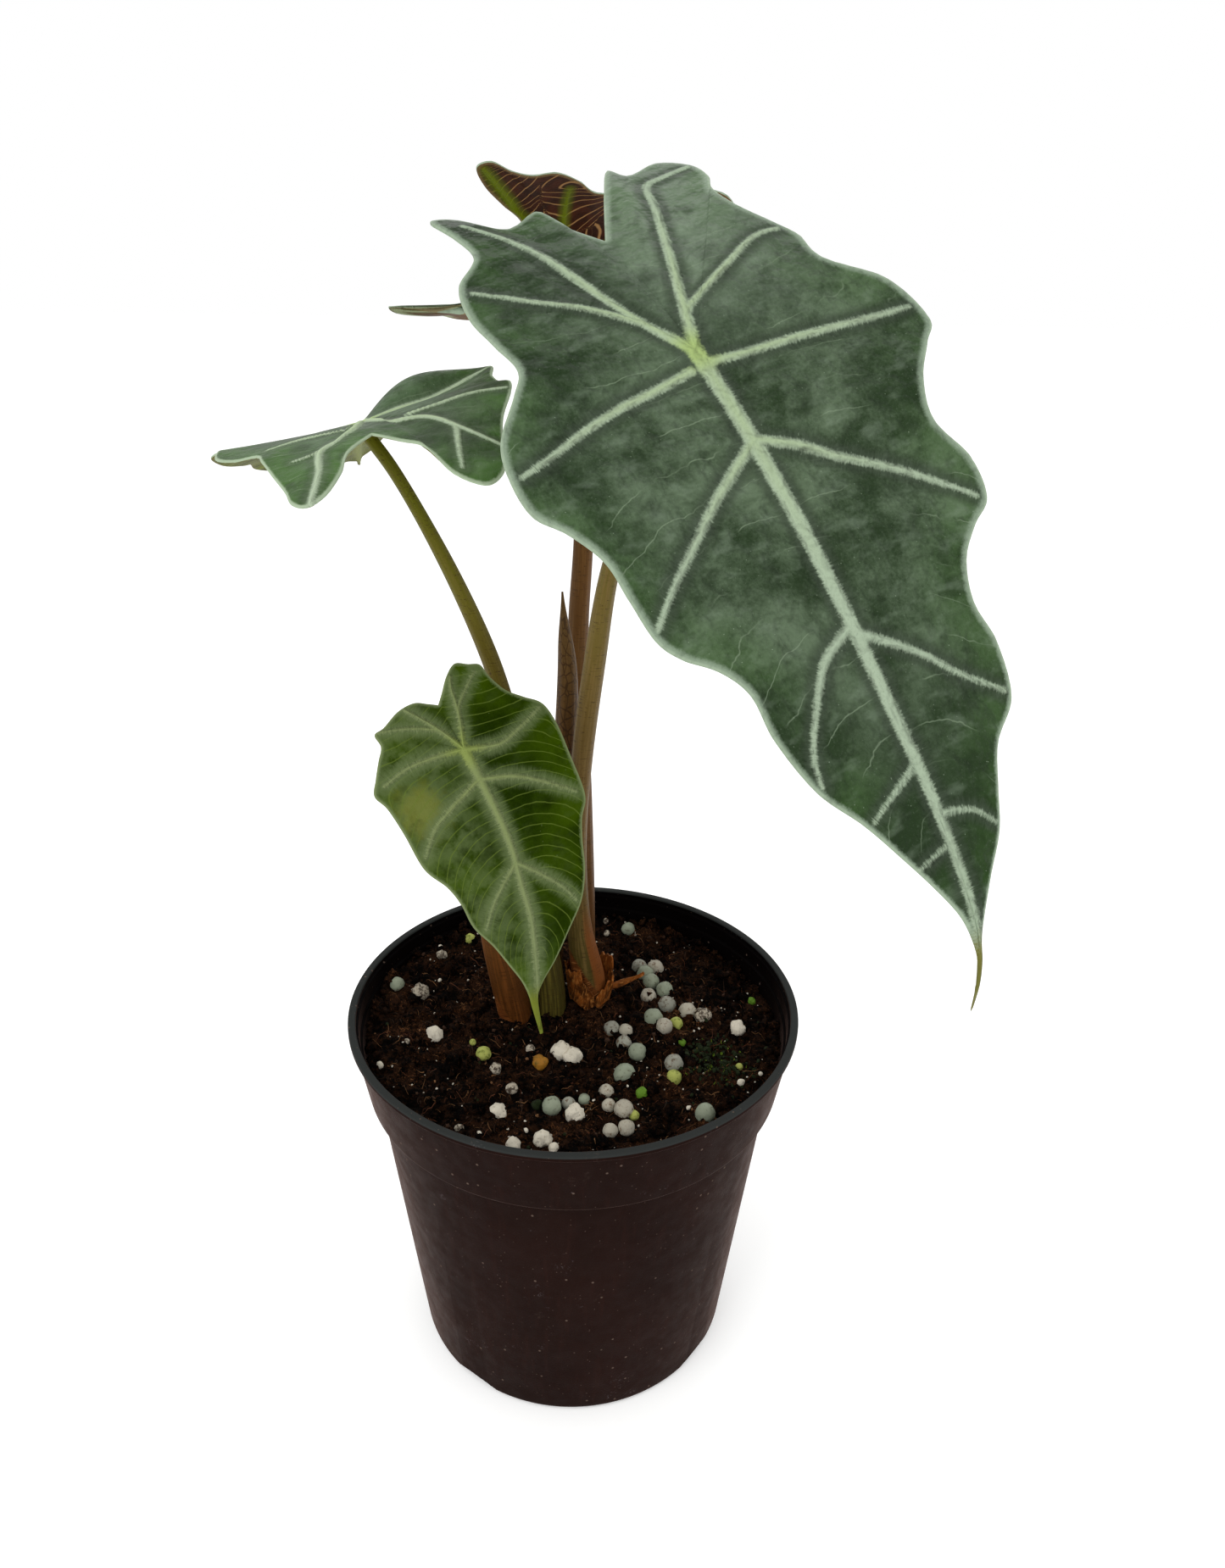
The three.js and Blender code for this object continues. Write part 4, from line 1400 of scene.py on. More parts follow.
@dataclass
class Pot:
    """The moulded nursery pot, turned from its profile and cut for drainage."""

    finish: Plastic
    height: float = 105.0
    rim_radius: float = 60.0
    lip_height: float = 1.6
    lip_inner: float = 58.0
    band_height: float = 20.3
    band_radii: tuple[float, float] = (59.0, 55.9)
    body_radii: tuple[float, float] = (53.6, 44.4)
    foot_rounding: float = 2.2
    wall: float = 1.2
    floor: tuple[float, float] = (3.0, 4.2)
    foot_ring_inner: float = 36.0
    centre_foot: float = 9.0
    channel_angles: tuple[float, ...] = (-126, -36, 54, 144)
    channel_width: float = 15.0
    drain_radius: float = 3.6
    drain_circle: float = 25.0
    drain_count: int = 4
    sides: int = 160
    cutter_sides: int = 48
    channel_reach: float = 16
    drain_reach: float = 8

    def profile(self) -> list[tuple[float, float, float]]:
        """Lists the corners of the pot's section.

        Returns:
            Radius, height and rounding of each corner.
        """
        band_foot = self.height - self.band_height
        lip_foot = self.height - self.lip_height
        top, foot = self.body_radii
        inner = self.lip_inner
        return [
            (0, 0, 0),
            (self.centre_foot, 0, 0.4),
            (self.centre_foot + 1, self.floor[0], 0.4),
            (self.foot_ring_inner, self.floor[0], 0.5),
            (self.foot_ring_inner + 1, 0, 0.5),
            (foot - 0.2, 0, self.foot_rounding),
            (top, band_foot, 0.3),
            (self.band_radii[1], band_foot, 0.9),
            (self.band_radii[0], lip_foot, 0.3),
            (self.rim_radius, lip_foot, 0.4),
            (self.rim_radius, self.height, 0.55),
            (inner, self.height, 0.4),
            (inner, self.height - 1.6, 0.2),
            (inner - 0.6, self.height - 1.8, 0.2),
            (inner - 0.9, self.height - 5.4, 0.2),
            (inner - 1.5, self.height - 5.8, 0.2),
            (inner - 3.3, band_foot + 1.2, 0.4),
            (top - self.wall, band_foot - 1, 0.5),
            (foot - self.wall, self.floor[1], 2.4),
            (0, self.floor[1], 0),
        ]

    def rounded(self) -> list[tuple[float, float]]:
        """Rounds the corners of the pot's section.

        Returns:
            Radius and height of each point.
        """
        corners = self.profile()
        points = []
        for i, (r, z, size) in enumerate(corners):
            here = np.array((r, z), float)
            if not size:
                points.append((r, z))
                continue
            before = np.array(corners[i - 1][:2], float) - here
            after = np.array(corners[i + 1][:2], float) - here
            reach = [min(size, np.linalg.norm(leg) * 0.48) for leg in (before, after)]
            start = here + before / np.linalg.norm(before) * reach[0]
            end = here + after / np.linalg.norm(after) * reach[1]
            for t in np.linspace(0, 1, 5):
                points.append(tuple(start * (1 - t) ** 2 + here * 2 * t * (1 - t) + end * t**2))
        return points

    def build(self) -> bpy.types.Object:
        """Builds the pot.

        Returns:
            The piece.
        """
        bm = bmesh.new()
        ring = [bm.verts.new((r, 0, z)) for r, z in self.rounded()]
        for a, b in zip(ring, ring[1:]):
            bm.edges.new((a, b))
        section = bm.verts[:] + bm.edges[:]
        turn = {"axis": (0, 0, 1), "cent": (0, 0, 0), "dvec": (0, 0, 0)}
        bmesh.ops.spin(bm, geom=section, angle=math.tau, steps=self.sides, use_merge=True, **turn)
        bmesh.ops.remove_doubles(bm, verts=bm.verts, dist=0.001)
        bmesh.ops.recalc_face_normals(bm, faces=bm.faces)
        cut = self.carved(bm, self.cutters())
        material = self.finish.material("pot_plastic")
        return Builder.piece(cut, "pot_shell", [material], "pot", Slot.POT, sharp=0.6)

    def cutters(self) -> BMesh:
        """Builds what is cut out of the pot: channels under the foot, and the drain holes.

        Returns:
            The cutting solids.
        """
        bm = bmesh.new()
        half = self.channel_width / 2
        for angle in self.channel_angles:
            squash = Matrix.Diagonal((1, 1, (self.floor[0] - 0.1) / half, 1))
            turn = Matrix.Rotation(math.radians(angle), 4, "Z")
            lay = turn @ Matrix.Translation((self.body_radii[1] - 1, 0, 0)) @ squash
            self.cylinder(bm, half, self.channel_reach, lay @ Matrix.Rotation(math.pi / 2, 4, "Y"))
        for i in range(self.drain_count):
            turn = Matrix.Rotation((i + 0.5) * math.tau / self.drain_count, 4, "Z")
            lay = turn @ Matrix.Translation((self.drain_circle, 0, self.floor[1]))
            self.cylinder(bm, self.drain_radius, self.drain_reach, lay)
        return bm

    def cylinder(self, bm: BMesh, radius: float, depth: float, lay: Matrix) -> None:
        """Adds a cylinder."""
        sizes = {"radius1": radius, "radius2": radius, "depth": depth}
        bmesh.ops.create_cone(bm, cap_ends=True, segments=self.cutter_sides, matrix=lay, **sizes)

    @staticmethod
    def carved(body: BMesh, cutters: BMesh) -> BMesh:
        """Cuts one mesh out of another.

        Args:
            body: the mesh to cut, which this call frees.
            cutters: what is cut away, which this call frees.

        Returns:
            The cut mesh.
        """
        objects = [placed("carving", meshed(bm, "carving")) for bm in (body, cutters)]
        cut = objects[0].modifiers.new("cut", "BOOLEAN")
        cut.operation, cut.solver, cut.object = "DIFFERENCE", "EXACT", objects[1]
        depsgraph = bpy.context.evaluated_depsgraph_get()
        made = bmesh.new()
        made.from_object(objects[0], depsgraph)
        for item in objects:
            bpy.data.meshes.remove(item.data)
        return made


# The soil


SOIL_LEVEL = 95.2
MOUND_SPREAD = 320
HEAP_SIDE = math.radians(140)
HEAP_RISE = 3.6
BORE_RADIUS = 53.6


def soil_height(x: Any, y: Any) -> Any:
    """Finds the height of the soil's face.

    Args:
        x: the place, as a number or an array.
        y: the place, as a number or an array.

    Returns:
        The height.
    """
    clods = 0.55 * np.sin(0.31 * x + 1.3) * np.cos(0.27 * y - 0.4)
    clods = clods + 0.4 * np.sin(0.63 * x - 0.52 * y) + 0.3 * np.cos(0.83 * y + 0.41 * x + 2)
    mound = 1.4 * np.exp(-((x + 3) ** 2 + (y - 9) ** 2) / MOUND_SPREAD)
    towards = (x * math.cos(HEAP_SIDE) + y * math.sin(HEAP_SIDE)) / BORE_RADIUS
    heap = HEAP_RISE * np.maximum(0, (towards + 0.1) / 1.1) ** 1.5
    return SOIL_LEVEL + clods + mound + heap


class Bit(Enum):
    """What lies in the soil, with its finish."""

    SPHERE = Grain((134, 142, 122), (82, 82, 62), 0.4, 0.5)
    GREY = Grain((140, 140, 128), (86, 68, 50), 0.55, 0.55)
    PALE = Grain((168, 162, 146), (100, 78, 58), 0.45, 0.55)
    WHITE = Grain((212, 204, 186), (96, 72, 50), 0.3, 0.8, 0.5)
    DIRTY = Grain((176, 166, 148), (44, 28, 18), 0.75, 0.75, 0.45)
    AMBER = Grain((146, 98, 26), (80, 74, 26), 0.5, 0.6, 0.4)
    GREEN = Grain((86, 124, 28), (48, 76, 18), 0.4, 0.6, 0.4)
    YELLOW = Grain((160, 166, 84), (98, 108, 38), 0.5, 0.6, 0.3)
    MOSS = Grain((20, 32, 8), (9, 16, 4), 0.5, 0.9, 0.4)
    MOSS_PALE = Grain((92, 116, 26), (52, 70, 16), 0.5, 0.9, 0.4)
    PERLITE = Grain((204, 196, 180), (110, 92, 72), 0.3, 0.8, 0.4)
    BARK = Grain((56, 34, 22), (28, 17, 11), 0.5, 0.8, 0.4)
    TAN_BIT = Grain((120, 84, 54), (70, 46, 30), 0.5, 0.8, 0.4)
    FIBRE_RED = Grain((84, 44, 24), (44, 24, 14), 0.4, 0.7, 0.2)
    FIBRE_TAN = Grain((110, 76, 46), (64, 42, 26), 0.4, 0.7, 0.2)
    FIBRE_DARK = Grain((46, 28, 18), (26, 16, 10), 0.4, 0.7, 0.2)


class Bead(NamedTuple):
    """A prill or crumb of perlite lying on the soil."""

    x: float
    y: float
    width: float
    kind: Bit


@dataclass
class Soil:
    """The peat that fills the pot, and what lies in it."""

    peat: Peat
    beads: list[Bead]
    seed: int = 20260
    radius: float = 55.5
    cells: int = 250
    reach: float = 54.0
    side: tuple[tuple[float, float], ...] = (
        (0.9766, 86.5), (0.937, 84.1), (0.7652, 7.5), (0.728, 4.5),
    )
    lumps: tuple[tuple[float, float], ...] = ((0.11, 0.8), (0.3, 0.95), (0.75, 0.8), (1.6, 0.35))
    clod_count: int = 1350
    wall_clods: int = 4
    wall_reach: float = 55.6
    fibre_count: int = 900
    fibre_legs: int = 5
    fibre_reach: float = 52
    fibre_end: float = 54.5
    speck_count: int = 430
    moss_count: int = 460
    moss_middle: tuple[float, float] = (38, -13)
    moss_spread: tuple[float, float] = (4.2, 4.4)
    batch: int = 50
    speck_shares: tuple[float, ...] = (0.48, 0.25, 0.2, 0.07)
    speck_sizes: tuple[float, ...] = (0.2, 0.35, 0.25, 0.3)
    smooth: float = 3.0

    SHIFT = 50
    SPECK_BITS = (Bit.PERLITE, Bit.BARK, Bit.TAN_BIT, Bit.MOSS)

    def build(self) -> list[bpy.types.Object]:
        """Builds the soil and what lies in it.

        Returns:
            The pieces.
        """
        rng = np.random.default_rng(self.seed)
        pieces = [self.bed(), self.clods(rng), self.fibres(rng), self.prills(rng)]
        return [*pieces, self.specks(rng), self.moss(rng)]

    def surface(self, x: float, y: float) -> float:
        """Finds the height of the soil with its finer lumps.

        Args:
            x: the place.
            y: the place.

        Returns:
            The height.
        """
        height = float(soil_height(x, y))
        for scale, size in self.lumps:
            height += size * noise.noise(Vector((x * scale, y * scale, 3.7 * scale)))
        return height - 0.1

    def bed(self) -> bpy.types.Object:
        """Builds the peat.

        Returns:
            The piece.
        """
        bm = bmesh.new()
        bmesh.ops.create_grid(bm, x_segments=self.cells, y_segments=self.cells, size=1.0)
        for vert in bm.verts:
            a, b = vert.co.x, vert.co.y
            if abs(a) > abs(b):
                reach, turn = a, math.pi / 4 * b / a
            elif b:
                reach, turn = b, math.pi / 2 - math.pi / 4 * a / b
            else:
                reach, turn = 0.0, 0.0
            x, y = reach * math.cos(turn) * self.radius, reach * math.sin(turn) * self.radius
            vert.co = (x, y, self.surface(x, y))
        rim = [edge for edge in bm.edges if edge.is_boundary]
        for scale, z in self.side:
            made = bmesh.ops.extrude_edge_only(bm, edges=rim)["geom"]
            for vert in [g for g in made if isinstance(g, BMVert)]:
                way = Vector(vert.co[:2]).normalized() * self.radius * scale
                vert.co = (way.x, way.y, z)
            rim = [g for g in made if isinstance(g, bmesh.types.BMEdge)]
        bmesh.ops.holes_fill(bm, edges=rim, sides=0)
        material = self.peat.material("peat")
        return Builder.piece(bm, "soil_bed", [material], "soil", Slot.SOIL, self.smooth)

    def scattered(self, rng: Random, reach: float) -> tuple[float, float]:
        """Picks a place on the soil."""
        distance, turn = reach * math.sqrt(rng.random()), rng.random() * math.tau
        return distance * math.cos(turn), distance * math.sin(turn)

    @classmethod
    def lump(
        cls,
        bm: BMesh,
        rng: Random,
        at: Sequence[float],
        size: float,
        finish: int,
        rough: float,
        detail: int = 2,
    ) -> None:
        """Adds an uneven lump.

        Args:
            bm: the mesh to add it to.
            rng: the random source.
            at: its middle.
            size: its radius.
            finish: its material's index.
            rough: how uneven it is.
            detail: the subdivision of the ball that it starts as.
        """
        spread = Matrix.Diagonal((*(0.75 + 0.5 * rng.random(3)), 1))
        turn = Matrix.Rotation(rng.random() * math.tau, 4, Vector(rng.normal(size=3)))
        made = bmesh.ops.create_icosphere(bm, subdivisions=detail, radius=1.0)["verts"]
        shift = Vector(rng.random(3) * cls.SHIFT)
        for vert in made:
            swell = 1 + rough * 1.6 * noise.noise(vert.co * 1.4 + shift)
            vert.co = Vector(at) + (turn @ spread @ (vert.co * swell)) * size
        for face in {face for vert in made for face in vert.link_faces}:
            face.material_index = finish

    def batches(self, bm: BMesh, count: int) -> Iterator[tuple[int, BMesh]]:
        """Fills a large mesh through small ones, which is faster than adding to the large one.

        Args:
            bm: the large mesh.
            count: how many items go into it.

        Yields:
            Each item's number, and the small mesh that it goes into.
        """
        for start in range(0, count, self.batch):
            part = bmesh.new()
            for i in range(start, start + self.batch):
                yield i, part
            mesh = meshed(part, "part")
            bm.from_mesh(mesh)
            bpy.data.meshes.remove(mesh)

    def clods(self, rng: Random) -> bpy.types.Object:
        """Builds loose crumbs of peat.

        Args:
            rng: the random source.

        Returns:
            The piece.
        """
        bm = bmesh.new()
        for i, part in self.batches(bm, self.clod_count):
            x, y = self.scattered(rng, self.reach)
            size = 0.3 + 1.2 * rng.random() ** 2.2
            rise = 0.3 * size
            if i % self.wall_clods == 0:
                stretch = (self.wall_reach - 0.8 * size) / max(math.hypot(x, y), 1)
                x, y = x * stretch, y * stretch
                rise += 1.6 * rng.random() ** 2
            self.lump(part, rng, (x, y, self.surface(x, y) + rise), size, 0, 0.9)
        materials = [self.peat.material("clods")]
        return Builder.piece(bm, "soil_clods", materials, None, Slot.SOIL, self.smooth)

    @staticmethod
    def strand(bm: BMesh, points: list[Vector], radius: float, finish: int) -> None:
        """Adds a thin three-sided strand.

        Args:
            bm: the mesh to add it to.
            points: the line that it follows.
            radius: its radius at the root.
            finish: its material's index.
        """
        circle = bmesh.ops.create_circle(bm, segments=3, radius=radius, cap_ends=True)["verts"]
        way = (points[1] - points[0]).to_track_quat("Z", "Y")
        for vert in circle:
            vert.co = points[0] + way @ vert.co
        face = next(iter(circle[0].link_faces))
        face.material_index = finish
        for i, (a, b) in enumerate(zip(points, points[1:])):
            made = bmesh.ops.extrude_face_region(bm, geom=[face])["geom"]
            verts = [g for g in made if isinstance(g, BMVert)]
            narrow = 1 - (i + 1) / len(points)
            middle = sum((v.co for v in verts), Vector()) / len(verts)
            for vert in verts:
                vert.co = b + (vert.co - middle) * (0.6 + 0.4 * narrow)
            old = face
            face = next(g for g in made if isinstance(g, bmesh.types.BMFace))
            for side in {f for v in verts for f in v.link_faces}:
                side.material_index = finish
            if old.is_valid and i:
                bmesh.ops.delete(bm, geom=[old], context="FACES_ONLY")

    def fibres(self, rng: Random) -> bpy.types.Object:
        """Builds root and peat fibres that lie on the soil.

        Args:
            rng: the random source.

        Returns:
            The piece.
        """
        bm = bmesh.new()
        for i, part in self.batches(bm, self.fibre_count):
            x, y = self.scattered(rng, self.fibre_reach)
            way, turn = rng.random() * math.tau, rng.normal() * 0.35
            leg = (1.2 + 4.5 * rng.random() ** 2) / self.fibre_legs
            points = []
            for k in range(self.fibre_legs + 1):
                lift = 0.25 + 0.5 * math.sin(math.pi * k / self.fibre_legs) * rng.random()
                points.append(Vector((x, y, self.surface(x, y) + lift)))
                x, y = x + leg * math.cos(way), y + leg * math.sin(way)
                way += turn
                if math.hypot(x, y) > self.fibre_end:
                    break
            if len(points) > 2:
                self.strand(part, points, 0.06 + 0.1 * rng.random() ** 2, i % 3)
        bits = (Bit.FIBRE_RED, Bit.FIBRE_TAN, Bit.FIBRE_DARK)
        materials = [bit.value.material(bit.name.lower()) for bit in bits]
        return Builder.piece(bm, "soil_fibres", materials, None, Slot.SOIL)

    def prills(self, rng: Random) -> bpy.types.Object:
        """Builds the fertiliser prills and the larger crumbs of perlite.

        Args:
            rng: the random source.

        Returns:
            The piece.
        """
        bm = bmesh.new()
        kinds = sorted({bead.kind for bead in self.beads}, key=lambda kind: kind.name)
        for bead in self.beads:
            at = (bead.x, bead.y, float(soil_height(bead.x, bead.y)) + 0.14 * bead.width)
            rough = 0.32 if bead.kind.value.pits > 0.3 else 0.1
            finish = kinds.index(bead.kind)
            size = bead.width * 0.51
            made = bmesh.ops.create_icosphere(bm, subdivisions=3, radius=size)["verts"]
            shift = Vector(rng.random(3) * self.SHIFT)
            for vert in made:
                swell = 1 + rough * noise.noise(vert.co * 0.8 + shift)
                vert.co = Vector(at) + vert.co * swell
            for face in {face for vert in made for face in vert.link_faces}:
                face.material_index = finish
        materials = [kind.value.material(kind.name.lower()) for kind in kinds]
        return Builder.piece(bm, "soil_beads", materials, None, Slot.SOIL, self.smooth)

    def specks(self, rng: Random) -> bpy.types.Object:
        """Builds small bits of perlite, bark and green.

        Args:
            rng: the random source.

        Returns:
            The piece.
        """
        bm = bmesh.new()
        picks = rng.choice(len(self.SPECK_BITS), size=self.speck_count, p=self.speck_shares)
        for pick in picks:
            x, y = self.scattered(rng, self.reach)
            size = self.speck_sizes[pick] * (0.6 + 1.1 * rng.random() ** 2)
            self.lump(bm, rng, (x, y, self.surface(x, y) + size * 0.6), size, int(pick), 0.5)
        bits = self.SPECK_BITS
        materials = [bit.value.material(bit.name.lower() + "_speck") for bit in bits]
        return Builder.piece(bm, "soil_specks", materials, None, Slot.SOIL, self.smooth)

    def moss(self, rng: Random) -> bpy.types.Object:
        """Builds the small patch of moss at the right.

        Args:
            rng: the random source.

        Returns:
            The piece.
        """
        bm = bmesh.new()
        for i in range(self.moss_count):
            x, y = rng.normal(self.moss_middle, self.moss_spread)
            if math.hypot(x, y) > self.reach:
                continue
            z = self.surface(x, y)
            if i % 3:
                size = 0.25 + 0.4 * rng.random() ** 2
                self.lump(bm, rng, (x, y, z + size * 0.6), size, int(i % 17 == 0), 0.8, 1)
                continue
            lean = Vector((rng.normal() * 0.5, rng.normal() * 0.5, 1)).normalized()
            height = 0.4 + 0.6 * rng.random()
            points = [Vector((x, y, z)) + lean * height * t for t in (0, 0.5, 1)]
            self.strand(bm, points, 0.12 + 0.06 * rng.random(), int(i % 15 == 0))
        bits = (Bit.MOSS, Bit.MOSS_PALE)
        materials = [bit.value.material(bit.name.lower()) for bit in bits]
        return Builder.piece(bm, "soil_moss", materials, None, Slot.SOIL)


# The studio


@dataclass
class Studio:
    """A pale floor, soft light, and the camera that took the photograph."""

    camera_place: Point = (9.3, -262.5, 294.1)
    tilt: float = 64.59
    roll: float = 0.97
    floor_reach: float = 4.0

    PAPER = ((244, 244, 243), (248, 248, 247))
    LAMPS = (
        ("key", (-330, -420, 620), 420, 1.6),
        ("fill", (460, -300, 420), 480, 0.4),
        ("back", (60, 520, 560), 500, 0.5),
    )
    AIM = (0, 0, 170)
    CLIP = (0.01, 50.0)

    def build(self) -> None:
        """Builds the studio."""
        scene = bpy.context.scene
        scene.view_settings.view_transform = "Standard"
        self.floor()
        self.world()
        for lamp in self.LAMPS:
            self.lamp(*lamp)
        self.camera()

    def floor(self) -> None:
        """Lays the floor."""
        bm = bmesh.new()
        bmesh.ops.create_grid(bm, x_segments=1, y_segments=1, size=self.floor_reach)
        mesh = meshed(bm, "floor")
        g = Graph("floor_paper")
        colour = g.mix(g.noise(g.place(), 0.002, 2.0), *self.PAPER)
        glow = {"Emission_Color": (1.0, 1.0, 1.0, 1.0), "Emission_Strength": 0.25}
        grain = g.bump(g.noise(g.place(), 0.5), 0.01)
        mesh.materials.append(g.surface(colour, 0.8, grain, 0.0, **glow))
        placed("floor", mesh)

    def world(self) -> None:
        """Fills the surroundings with even pale light."""
        world = bpy.data.worlds.new("surroundings")
        world.use_nodes = True
        background = world.node_tree.nodes["Background"]
        background.inputs["Color"].default_value = (1.0, 1.0, 1.0, 1.0)
        background.inputs["Strength"].default_value = 1.0
        bpy.context.scene.world = world

    def lamp(self, name: str, place: Sequence[float], width: float, power: float) -> None:
        """Adds a large soft lamp that faces the plant.

        Args:
            name: its name.
            place: where it stands.
            width: its width.
            power: its power in watts.
        """
        data = bpy.data.lights.new(name, "AREA")
        data.energy, data.size = power, width * MM
        lamp = placed(name, data)
        lamp.location = Vector(place) * MM
        aim = Vector(self.AIM) * MM - lamp.location
        lamp.rotation_euler = aim.to_track_quat("-Z", "Y").to_euler()

    def camera(self) -> None:
        """Sets the camera."""
        data = bpy.data.cameras.new("camera")
        data.sensor_width = SENSOR_WIDTH
        data.lens = FOCAL_PIXELS * SENSOR_WIDTH / PHOTO_LONG_SIDE
        data.clip_start, data.clip_end = self.CLIP
        camera = placed("camera", data)
        turn = Matrix.Rotation(math.radians(self.tilt), 4, "X")
        turn = turn @ Matrix.Rotation(math.radians(self.roll), 4, "Z")
        camera.matrix_world = Matrix.Translation(Vector(self.camera_place) * MM) @ turn
        bpy.context.scene.camera = camera


# The leaves' outlines, in millimetres from the joint: towards the tip, across, and up

FLAT = (0.0, 0.0)
VEIN_GAPS = 5
LEFT_SIZE = 0.787
BACK_SIZE = 0.821
FRONT_EDGE = [
    (20, 41), (28, 36.5), (37, 34.5), (47, 34), (53, 29.5), (61, 24.5), (70, 23), (80, 21),
    (88, 14.5), (98, 9), (107, 5), (113, 1.8), (117, 0.8), (124, 0.6),
]
WAVY = range(2, 25)
SPINE_ENDS = [2, 7, 13, 18, 22, 33, 44, 53, 60, 72, 87, 101, 111.5, 116, 124]


def lobed(size: float, wave: float, phase: float, lobes: Sequence[Sequence]) -> Outline:
    """Lays out a leaf from the outlines of its two back lobes and the front leaf's edge.

    Args:
        size: the leaf's size as a share of the front leaf's.
        wave: the height of the wave along its edge.
        phase: where the wave starts.
        lobes: [u, v, lift] points of the left and right lobe.

    Returns:
        The leaf's outline.
    """
    edges = []
    for sign, lobe in zip((-1, 1), lobes):
        front = [(u * size, sign * v * size) for u, v in FRONT_EDGE]
        edge = []
        for i, point in enumerate([*lobe, *front]):
            ripple = wave * math.sin(1.55 * i + phase + 0.8 * sign) if i in WAVY else 0.0
            edge.append((point[0], point[1], sum(point[2:]) + ripple))
        edges.append(edge)
    spine = [(u * size, 0, 0) for u in [0] * 13 + SPINE_ENDS]
    return Outline([0, 4, 13, 17, 21, 26], spine, *edges)


FRONT_SPINE = [
    *[(0, 0, 0)] * 14, *[(u, 0, 0) for u in (2, 6, 11, 16, 20, 23, 32, 41)],
    (49, -0.3, 0), (55, -0.4, 0), (59.5, -0.5, 0), (70, -0.5, 0), (81, -0.4, 0), (92, -0.5, 0),
    (102, -0.9, 0), (110, -1.7, 0), (115.5, -3.1, 0), (119, -4.3, -1.5), (122, -5.4, -5),
]
FRONT_LEFT = [
    (-34, 0, 0), (-42, -4, 0), (-50, -6.5, 0.6), (-48.5, -14, -0.6), (-56, -21.5, 0.4),
    (-55.5, -27, 1.5), (-47, -25.4, 1), (-39, -25.4, 0.8), (-33, -31.3, -0.6), (-24, -33.4, -1),
    (-15, -32.7, -0.4), (-7, -32.2, 1), (-1.5, -35.7, 1.2), (6, -41.8, 0.2), (13, -43.5, -0.6),
    (20.5, -43, -0.6), (26, -39.2, 0.3), (33, -36, 1), (40, -35.2, 0.6), (47.5, -33.8, -0.6),
    (52, -31, -0.5), (56.5, -26.4, 0.6), (62, -23.3, 0.9), (70, -22.6, 0.2), (80, -19.2, -0.5),
    (88, -14, 0.1), (95, -10.3, 0.6), (102, -6.4, 0.3), (108, -3.6, 0), (113, -3.1, 0),
    (116.5, -3.8, 0), (119.6, -4.9, -1.8), (122.3, -5.6, -5.2),
]
FRONT_RIGHT = [
    (-34, 0, 0), (-41.5, 4, 0), (-49.5, 8.4, 0.3), (-56.5, 13, 1.2), (-53, 16, 0.4),
    (-55.4, 24, -0.5), (-50.3, 29, -0.8), (-43, 28.6, 0), (-37, 25.6, 1.2), (-30, 26.4, 1.2),
    (-23.4, 30, 0.2), (-17.5, 33, -0.5), (-9, 32.6, 0.8), (1, 40.5, 0.6), (11.5, 43.6, -0.6),
    (16.5, 39.8, 0.4), (23, 34.6, 1.3), (31, 32, 1.3), (39.5, 35.2, 0.2), (47, 34.8, -0.8),
    (51, 29.4, 0.4), (56, 24.4, 1.2), (63, 22.1, 1), (70.5, 23.4, 0), (79.6, 22, -0.8),
    (85.5, 15.6, 0.2), (92, 12, 0.8), (98.5, 9.2, 0.4), (105, 4.2, 0), (112, -0.9, 0),
    (116, -2.7, 0), (119.2, -4, -1.6), (122, -5.2, -5),
]
SMALL_SPINE = [
    *[(0, 0, 0)] * 9, *[(u, 0, 0) for u in (0.6, 3, 5.5, 8.5)],
    (15, 0.1, 0), (21, -0.1, 0), (26, -0.7, 0),
    (30, -1.4, 0), (38, -2.7, 0), (46, -4.6, 0), (54.5, -7.8, 0), (60, -10, 0), (68, -11.6, 0),
]
SMALL_LEFT = [
    (-11.4, -0.5, 0), (-12.6, -2.4, 0), (-14.1, -5.2, 0.3), (-13.9, -9.2, 0), (-12, -13.6, 0.3),
    (-11.4, -16.1, 0), (-8.4, -16.1, 0.3), (-5.8, -18, 0), (-2.5, -20.3, -0.3), (0.7, -22.2, -0.4),
    (4.5, -21, 0.4), (11, -20.3, 0.7), (20, -19.7, -0.4), (26, -17, 0.5), (31, -15.9, 0.6),
    (37, -15.6, 0.2), (43, -13.4, -0.4), (49, -12, 0.2), (54, -10.9, 0.2), (58.2, -10.8, 0),
    (61, -11.2, 0), (68, -12, 0),
]
SMALL_RIGHT = [
    (-11.4, -0.5, 0), (-13.4, 1.4, 0), (-16.5, 4.2, 0.3), (-18.3, 7.2, 0), (-16.9, 9.8, 0.3),
    (-15.6, 12.2, 0), (-12.2, 12.8, 0.3), (-8, 14.6, 0), (-4.8, 17.6, -0.3), (-1.5, 20.8, -0.4),
    (4, 21.5, 0.4), (12, 21, 0.7), (21.5, 20.4, -0.4), (26, 17.3, 0.5), (31, 15.1, 0.6),
    (37, 13.1, 0.2), (43.2, 9.6, -0.4), (48, 4.2, 0.2), (53, -1.6, 0.2), (56.8, -6.8, 0),
    (60, -9.2, 0), (68, -11.2, 0),
]
